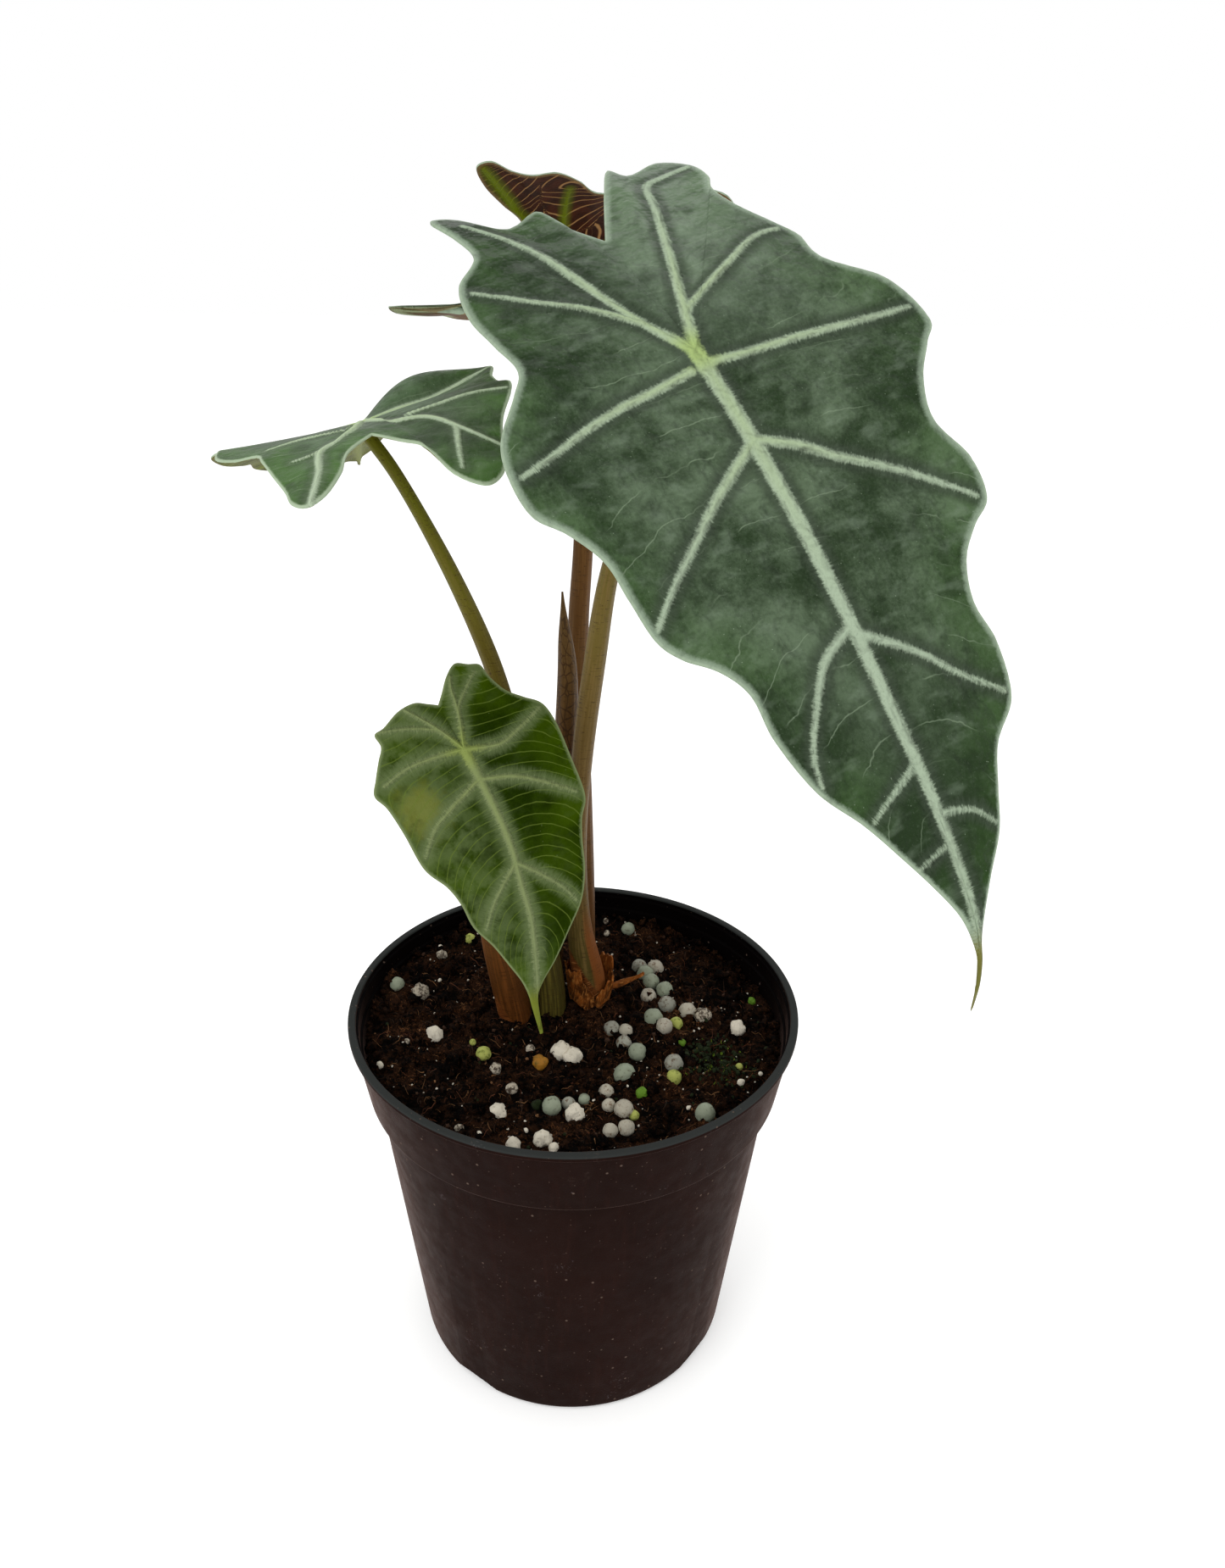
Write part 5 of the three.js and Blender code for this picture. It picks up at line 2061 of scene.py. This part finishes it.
LEFT_LOBES = (
    [
        (-22, 0), (-26.5, -5), (-30.2, -9), (-38.5, -12), (-42.3, -17), (-40.3, -21.2),
        (-34.5, -23.5), (-27.5, -25), (-20, -27.5), (-13.5, -31.3), (-8.6, -32.6), (-3.6, -30.8),
        (3, -30.9), (9.4, -32.6),
    ],
    [
        (-22, 0), (-28, 5.8), (-34.5, 8.4), (-41, 12.4), (-44.2, 16.5), (-41.5, 19.2),
        (-35.4, 19.8), (-28.5, 21.2), (-21.5, 22.6), (-16.1, 23.5), (-12, 28.5), (-7, 31.9),
        (2, 31.4), (8.5, 33.8),
    ],
)
BACK_LOBES = (
    [
        (-17.5, 0), (-22, -5.3), (-30, -9.8), (-37.5, -14.4), (-42.5, -19.2), (-40.8, -22.2),
        (-34.9, -20.9), (-29, -20.4), (-23.5, -22.2), (-17, -21.5), (-11, -20), (-4, -24),
        (3, -31), (10.3, -35.7),
    ],
    [
        (-17.5, 0), (-25, 7, -6), (-34, 14, -0.8), (-41, 17.2, 0.4), (-46, 18.4, 1),
        (-42.5, 21.3, 4), (-35, 22.7, 6.4), (-28.7, 24.5, 8.2), (-22.2, 26.7, 8.4),
        (-14.8, 27.1, 6.6), (-7.4, 27.9, 4.4), (-0.8, 31.2, 2.4), (4.9, 34.5, 0.8), (10.3, 35.7),
    ],
)

FRONT_VEINS = [
    Vein(1.5, [(0, 0), (23, 0), (49, -0.3), (70, -0.5), (92, -0.5), (110, -1.7), (119, -4.3)]),
    Vein(0.95, [
        (3.8, -3.1), (5.3, -11.8), (6.4, -19.5), (8.7, -27.8), (11.1, -34.4), (13.2, -41.4),
    ]),
    Vein(0.95, [(21, 0), (27, -9.2), (31.1, -14.9), (35.9, -20.9), (40.4, -26.5), (46.1, -32.8)]),
    Vein(0.8, [
        (57.5, -0.4), (61.1, -7.6), (65.1, -11.2), (70.3, -14.9), (75.1, -17.5), (79.5, -18.2),
    ]),
    Vein(0.6, [(82.5, -0.5), (88.2, -12.4)]),
    Vein(0.45, [(96.6, -1), (98.3, -8.1)]),
    Vein(0.95, [(3.1, 0), (4, 9), (4.6, 17.4), (5.8, 26.4), (7.2, 35.3), (8, 41.3)]),
    Vein(0.95, [(20.5, 0), (24.8, 7.1), (29.3, 12.4), (34, 19.1), (38.9, 25.2), (46.1, 33.1)]),
    Vein(0.8, [(59, -0.4), (62.9, 4.7), (67.5, 9.9), (72.5, 14.4), (78.3, 21.2)]),
    Vein(0.5, [(91.5, -0.4), (93.5, 5.3), (96.8, 8.8)]),
    Vein(1.15, [
        (0, 0), (-8.7, -5.4), (-16.6, -8.7), (-24.9, -11.2), (-33.9, -13.7), (-42.6, -17.1),
        (-51.3, -21.9),
    ]),
    Vein(0.8, [(-8.7, -5.4), (-16.3, -13.6), (-22.2, -21.5), (-30, -30.2)]),
    Vein(1.15, [
        (0, 0), (-11, 3.6), (-21.1, 7.1), (-29.4, 10.1), (-38.5, 13.6), (-46.5, 16.4),
        (-48.6, 22.1), (-49.4, 28),
    ]),
    Vein(0.8, [(-9.5, 3.2), (-14.7, 14.2), (-19.9, 24.2), (-20.3, 30.2)]),
]
SMALL_VEINS = [
    Vein(1.15, [
        (0, 0), (9.4, 0.2), (17, 0.2), (24.5, -0.2), (33.4, -1.8), (42.5, -3.3), (55.7, -7.8),
        (66, -11.4),
    ]),
    Vein(0.7, [(0, 0), (2.4, 7.5), (1.2, 13.3), (-0.9, 19.6)]),
    Vein(0.7, [(7.6, 0.2), (10.4, 7.4), (14.6, 13.1), (20, 18.9)]),
    Vein(0.6, [(28.4, -0.4), (33.8, 3.9), (38.7, 7), (42.8, 8.5)]),
    Vein(0.7, [(0, 0), (-1.2, -7.2), (-1.6, -13.2), (-0.3, -19.4)]),
    Vein(0.7, [(7.4, 0.1), (10.4, -8), (13.1, -13.8), (17.7, -18.3)]),
    Vein(0.6, [(28, -0.8), (33.3, -8.2), (38.5, -13.1)]),
    Vein(0.7, [(0, 0), (-5.3, -2.6), (-9.8, -5.3), (-13.5, -7.8)]),
    Vein(0.5, [(-6.5, -3.4), (-9.5, -9.2), (-11.6, -15.6)]),
    Vein(0.7, [(0, 0), (-7.9, 2.6), (-13.2, 3.6), (-15.9, 4.8)]),
    Vein(0.5, [(-7.9, 2.6), (-10.2, 4.4), (-14.6, 10.1)]),
]
LEFT_VEINS = [
    Vein(1.3, [(0, 0), (40, 0), (97, 0)]),
    Vein(1.0, [(0, 0), (-11.3, -3.3), (-17, -12.4), (-23.4, -17), (-28.3, -20.9), (-32.3, -24.8)]),
    Vein(0.6, [(-23.4, -17), (-30.1, -15.5), (-37.7, -14.1)]),
    Vein(0.7, [(-12.4, -8.9), (-9.8, -22.1), (-11.9, -31.2)]),
    Vein(0.7, [(-12, 2.3), (-12.6, 11.4), (-14.3, 21)]),
    Vein(1.0, [(0, 0), (-13.4, 2.3), (-20, 6.6), (-24.7, 11), (-34.3, 12.6), (-43.8, 15.8)]),
    Vein(0.6, [(-24.7, 11), (-24.9, 16.7)]),
]
BACK_VEINS = [
    Vein(1.4, [(0, 0), (40, 0), (101, 0)]),
    Vein(1.1, [(0, 0), (-20.9, -5.7), (-28.6, -10.8), (-37.8, -17.3), (-41.2, -19.7)]),
    Vein(0.7, [(-8, -2.2), (-14.2, -13), (-17.1, -18.5)]),
    Vein(1.0, [(0, 0), (-14, 6), (-26, 13), (-43, 18)]),
    Vein(0.7, [(-8, 3.4), (-14, 13), (-20, 25)]),
]


def forward_veins(scale: float) -> list[Vein]:
    """Copies the front leaf's side veins ahead of its joint for a smaller leaf.

    Args:
        scale: the smaller leaf's size as a share of the front leaf's.

    Returns:
        The veins.
    """
    return [
        Vein(vein.half_width * scale, [(u * scale, v * scale) for u, v in vein.points])
        for vein in FRONT_VEINS[1:10]
    ]


BEADS = [
    (-50.6, 13.6, 4.2, "sphere"), (-43.7, 11.2, 4.8, "dirty"), (-37.5, -5.9, 4.6, "white"),
    (-23.5, -12.7, 4, "yellow"), (-19.8, -18.5, 3.2, "dirty"), (-8.4, -15.8, 4, "amber"),
    (-3.1, -11.1, 5.6, "white"), (-0.1, -12.8, 4.8, "white"), (-14.9, -25.7, 3, "dirty"),
    (-17.5, -34.3, 4.2, "white"), (-4.4, -32.8, 4.8, "sphere"), (-0.3, -30.8, 3.4, "grey"),
    (3.5, -28.8, 3, "sphere"), (1.4, -34.8, 4.8, "white"), (9, -26.1, 3.8, "pale"),
    (18, -27.1, 3, "green"), (9.7, -31.8, 3.4, "pale"), (13.5, -33.9, 4.8, "pale"),
    (10.2, -40.6, 3.7, "pale"), (14.1, -39.6, 4.1, "pale"), (33.5, -35.2, 4.9, "sphere"),
    (-13, -45.6, 3.6, "white"), (-6, -44, 4.1, "white"), (13.7, -19.3, 5.6, "sphere"),
    (17.1, -10.6, 4.8, "sphere"), (13.5, -7.5, 4.1, "grey"), (10.2, -1.4, 4.2, "grey"),
    (14, -1.9, 3.8, "pale"), (26.6, -15.2, 4.8, "grey"), (26.4, -20.7, 3.9, "yellow"),
    (44.5, -0.3, 4.4, "white"), (18.1, 28.2, 4.5, "grey"), (22.8, 28.3, 5, "pale"),
    (19.8, 24.3, 4.8, "sphere"), (21.4, 21, 4.8, "sphere"), (25.2, 17.3, 4.8, "sphere"),
    (20.6, 15.5, 4.6, "pale"), (25.7, 11.2, 5, "grey"), (21.7, 4, 5.2, "sphere"),
    (24.6, -0.1, 4.5, "pale"), (31.3, 7.8, 4.8, "pale"), (35.4, 5.8, 4.6, "dirty"),
    (28, 3, 3.7, "yellow"), (14.9, 48.5, 4.2, "sphere"), (-40.2, 29.2, 3.2, "dirty"),
    (-32.7, 37.5, 3.4, "yellow"), (49.8, 12.8, 2.4, "green"), (29, -6.1, 2.2, "green"),
    (16, -34.9, 2.6, "yellow"), (-8.3, -31.5, 2.6, "moss"), (43.4, -23.0, 1.9, "white"),
    (-49.8, -18.4, 1.9, "white"), (-44.2, -9.8, 1.7, "dirty"), (-26.4, -40.1, 2.2, "dirty"),
    (-3.2, -47.1, 2.4, "white"), (-10.3, -40.8, 1.2, "white"), (-11.4, -10.9, 2.6, "dirty"),
    (-26.8, -8.3, 1.8, "yellow"), (8.0, 52.3, 1.8, "dirty"), (8.4, 45.5, 1.8, "dirty"),
    (-15.3, 13.8, 2.2, "yellow"), (-41.1, 33.4, 1.2, "white"), (-39.2, 17.8, 1.1, "white"),
    (51.8, -8.0, 1.6, "moss"), (43.7, -15.3, 2.0, "yellow"), (48.9, -18.4, 1.2, "white"),
    (-23.2, -30.5, 1.6, "moss"), (-21.4, -42.5, 1.2, "white"), (29.5, -32.2, 1.1, "white"),
    (19.6, 27.9, 2.2, "yellow"),
]


# The stems' paths from the bottoms of their holes, and their radii

HOLE_FLOOR = 85.2
FRONT_PATH = [
    (4.4, 12.2, HOLE_FLOOR), (3.6, 12, 102), (1, 11.3, 120), (0.2, 10, 147.3), (1.6, 7, 173.5),
    (4.3, 3, 198.1), (8.1, -5, 225), (12.6, -13, 240), (18.6, -25, 258),
]
FRONT_RADII = [4.9, 4.5, 3.1, 2.6, 2.6, 2.7, 2.6, 2.2, 1.9, 1.8, 2]
LEFT_PATH = [
    (-6.4, 6, HOLE_FLOOR), (-6.4, 6.2, 103), (-9, 6, 125), (-11.5, 6, 152), (-14.9, 5.6, 176.6),
    (-18.5, 5, 193.1), (-22.3, 4.2, 205.3), (-30.3, 3, 224.8), (-40.3, 3, 243.9),
]
LEFT_RADII = [3.7, 3.6, 3.3, 3.1, 2.8, 2.5, 2.3, 2.1, 1.8, 1.5, 1.5]
SMALL_PATH = [
    (-16.4, 4.6, HOLE_FLOOR), (-16.7, 4.2, 97), (-18.6, 3, 110), (-20.6, 1.6, 123),
    (-22.2, -1, 140), (-23.6, -5, 157), (-24.6, -12, 174),
]
SMALL_RADII = [4.6, 4.6, 4.5, 4.1, 3.2, 2.5, 2, 1.6, 1.4]
BACK_PATH = [
    (1.8, 23, HOLE_FLOOR), (1.8, 22.9, 104), (1.6, 22.8, 130), (1, 22.8, 154), (-0.2, 23.4, 185),
    (0, 25, 204), (1, 28, 222.7), (0.8, 33, 243), (0.5, 39.5, 265),
]
BACK_RADII = [3.4, 3.3, 3.1, 2.9, 2.8, 2.7, 2.6, 2.4, 2.1, 1.8, 1.8]
SHEATH_PATH = [
    (-7.2, 16.6, HOLE_FLOOR), (-7, 16.6, 108), (-6.2, 16.4, 130), (-4.8, 15, 152),
    (-2.7, 12.6, 178), (-2.3, 11.2, 195), (-3, 10.2, 207), (-3.4, 10, 215),
]
SHEATH_RADII = [3.2, 3.1, 3.1, 3, 3, 2.95, 2.9, 2.75, 2, 0.25]


class Kit:
    """The plant's parts and finishes."""

    SEAT_GAP = 0.3

    DARK = LeafFace(
        deep=(30, 45, 25), soft=(86, 102, 80), fresh=(48, 80, 26), vein=(158, 174, 150),
        joint=(154, 176, 96), margin=(128, 144, 124), fine=(116, 132, 108),
        feather=1.2, halo=0.12, fine_spacing=7.0, fine_width=0.09, fine_cover=0.45, silver=0.34,
        fine_strength=0.5, rim_fresh=0.4, quilt=5.0, painted_light_fade=(0.5, 0.6, 0.9), painted_vein_shadow=0.7,
        painted_fold_strength=0.36, gloss=0.09, tail=(112.0, (98, 92, 10)),
    )
    LEFT = LeafFace(
        deep=(42, 60, 32), soft=(78, 100, 70), fresh=(64, 98, 40), vein=(178, 194, 168),
        joint=(160, 184, 96), margin=(124, 142, 112), fine=(110, 130, 98),
        feather=0.8, halo=0.2, fine_spacing=6.0, fine_width=0.1, fine_cover=0.4, silver=0.22,
        fine_strength=0.5, rim_fresh=0.85, halo_reach=1.6, quilt=1.5, rim_width=0.45, painted_vein_shadow=0.4,
        painted_fold_strength=0.25, gloss=0.1,
    )
    BRIGHT = LeafFace(
        deep=(20, 34, 0), soft=(42, 60, 4), fresh=(62, 84, 0), vein=(122, 133, 92),
        joint=(136, 150, 76), margin=(92, 105, 68), fine=(90, 106, 42),
        feather=1.8, halo=0.75, fine_spacing=2.4, fine_width=0.1, fine_cover=0.85, silver=0.06,
        fine_strength=0.55, rim_fresh=0.4, halo_reach=2.7, gloss=0.015, quilt=0.8, painted_left_sheen=0.55,
        rim_width=0.6, painted_fold_strength=0.12, tail=(57.0, (104, 112, 36)), patch=(118, 122, 58),
    )
    OLIVE_BACK = LeafBack(
        deep=(66, 72, 16), soft=(92, 98, 32), rib=(118, 126, 60), line=(118, 120, 62),
        margin=(98, 92, 44), spacing=2.6,
    )
    MAROON_BACK = LeafBack(
        deep=(34, 9, 0), soft=(56, 21, 4), rib=(92, 106, 6), line=(150, 112, 70),
        margin=(112, 92, 62), spacing=2.9, lobe=(112, 74, 24),
    )

    PLASTIC = Plastic(
        body=(25, 13, 10), rim=(45, 47, 46), inside=(5, 3, 3), dust=(104, 88, 78),
        scuff=(112, 102, 104), rim_foot=104.45,
    )
    PAPER = Papery(pale=(178, 116, 60), warm=(128, 70, 26), dark=(66, 34, 12))

    @classmethod
    def blades(cls) -> list[Blade]:
        """Lists the blades.

        Returns:
            The four blades.
        """
        return [
            Blade(
                node="leaf_front_blade", slot=Slot.UPPER_DARK,
                joint=(22.9, -37, 273.6), to_tip=(0.483, -0.623, -0.615), up=(0.09, -0.664, 0.743),
                bend=Bend(-2.16, (1.49, 1.49), -3.7, 0, FLAT, FLAT),
                swells=([1.1] * VEIN_GAPS,) * 2, rib=1.5, veins=FRONT_VEINS,
                outline=Outline([0, 5, 14, 19, 24, 30], FRONT_SPINE, FRONT_LEFT, FRONT_RIGHT),
                face=cls.DARK, back=cls.OLIVE_BACK, columns=56, row_steps=13, vein_scale=1.12,
            ),
            Blade(
                node="leaf_small_blade", slot=Slot.UPPER_BRIGHT,
                joint=(-24, -22, 187.8), to_tip=(0.463, -0.334, -0.821), up=(0.243, -0.843, 0.479),
                bend=Bend(-3.4, (1.5, 1.5), -5, 1, FLAT, FLAT),
                swells=([0.6] * VEIN_GAPS,) * 2, rib=0.9, veins=SMALL_VEINS,
                outline=Outline([0, 4, 9, 12, 16, 20], SMALL_SPINE, SMALL_LEFT, SMALL_RIGHT),
                face=cls.BRIGHT, back=cls.OLIVE_BACK, columns=40, row_steps=14,
            ),
            Blade(
                node="leaf_left_blade", slot=Slot.UPPER_DARK,
                joint=(-46.8, 4.4, 254), to_tip=(-0.244, 0.954, -0.176), up=(-0.261, 0.11, 0.959),
                bend=Bend(-0.9, (3.33, 1.69), -5.93, -3.23, (6.93, 5.78), FLAT),
                swells=([0.4, 1.2, 6.3, 1.5, 0.5], [0.5] * VEIN_GAPS), rib=1.1,
                outline=lobed(LEFT_SIZE, 0.6, 0.4, LEFT_LOBES),
                veins=[*LEFT_VEINS, *forward_veins(LEFT_SIZE)],
                face=cls.LEFT, back=cls.OLIVE_BACK, columns=34, row_steps=12, vein_scale=1.2,
            ),
            Blade(
                node="leaf_back_blade", slot=Slot.UNDERSIDE,
                joint=(0.2, 47, 288.2), to_tip=(0.78, 0.596, -0.19), up=(-0.282, 0.606, 0.744),
                bend=Bend(-3.85, (-7.64, 4.81), -2.72, 2.74, (0.71, 7.02), (0, 8)),
                swells=([0.8] * VEIN_GAPS,) * 2, rib=1.2,
                outline=lobed(BACK_SIZE, 0.5, 2.1, BACK_LOBES),
                veins=[*BACK_VEINS, *forward_veins(BACK_SIZE)],
                face=cls.DARK, back=cls.MAROON_BACK, columns=34, row_steps=12, nested=True,
            ),
        ]

    @staticmethod
    def seat(blade: Blade) -> Point:
        """Finds where a stem meets its blade."""
        under = blade.thickness + blade.rib + Kit.SEAT_GAP
        return tuple(np.array(blade.joint) - unit(blade.up) * under)

    @classmethod
    def stems(cls, blades: Sequence[Blade]) -> list[Stem]:
        """Lists the stems.

        Args:
            blades: the blades that they hold up.

        Returns:
            The stems.
        """
        front, small, left, back = (cls.seat(blade) for blade in blades)
        return [
            Stem(
                "leaf_front_petiole", Slot.STEM_TAN,
                FRONT_PATH + [front], FRONT_RADII,
                StemSkin(
                    top=(94, 82, 32), middle=(92, 70, 34), foot=(62, 54, 20), mark=(46, 30, 14),
                    streak=(112, 90, 50), low=100, high=230, flank=(116, 62, 26), flank_height=124,
                    wrap=111.3,
                ),
            ),
            Stem(
                "leaf_left_petiole", Slot.STEM_OLIVE,
                LEFT_PATH + [left], LEFT_RADII,
                StemSkin(
                    top=(88, 90, 6), middle=(84, 68, 24), foot=(52, 46, 16), mark=(48, 30, 10),
                    streak=(98, 88, 34), low=106, high=250,
                ),
            ),
            Stem(
                "leaf_small_petiole", Slot.STEM_TAN,
                SMALL_PATH + [small], SMALL_RADII,
                StemSkin(
                    top=(96, 88, 40), middle=(82, 50, 20), foot=(66, 34, 10), mark=(40, 20, 6),
                    streak=(112, 64, 26), low=92, high=180, wrap=70.0,
                ),
            ),
            Stem(
                "leaf_back_petiole", Slot.STEM_TAN,
                BACK_PATH + [back], BACK_RADII,
                StemSkin(
                    top=(86, 54, 22), middle=(80, 52, 24), foot=(74, 44, 18), mark=(44, 24, 10),
                    streak=(104, 72, 38), low=100, high=240,
                ),
            ),
            Stem(
                "new_leaf_sheath", Slot.STEM_TAN,
                SHEATH_PATH, SHEATH_RADII,
                StemSkin(
                    top=(80, 58, 28), middle=(76, 46, 20), foot=(64, 42, 16), mark=(42, 22, 10),
                    streak=(98, 70, 38), low=120, high=210, net=0.75,
                ),
            ),
        ]

    @staticmethod
    def soil() -> Soil:
        """Lists the soil's finish and beads."""
        peat = Peat((4, 2, 1), (44, 26, 15), (118, 76, 46))
        return Soil(peat, [Bead(x, y, width, Bit[kind.upper()]) for x, y, width, kind in BEADS])


def main() -> None:
    """Builds the studio and the plant."""
    logging.basicConfig(level=logging.INFO, format="%(name)s %(message)s")
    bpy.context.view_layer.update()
    Studio().build()
    Pot(Kit.PLASTIC).build()
    Kit.soil().build()
    blades = Kit.blades()
    for piece in [*Kit.stems(blades), *blades]:
        piece.build()
    DrySheath(Kit.PAPER).build()


if __name__ == "__main__":
    main()
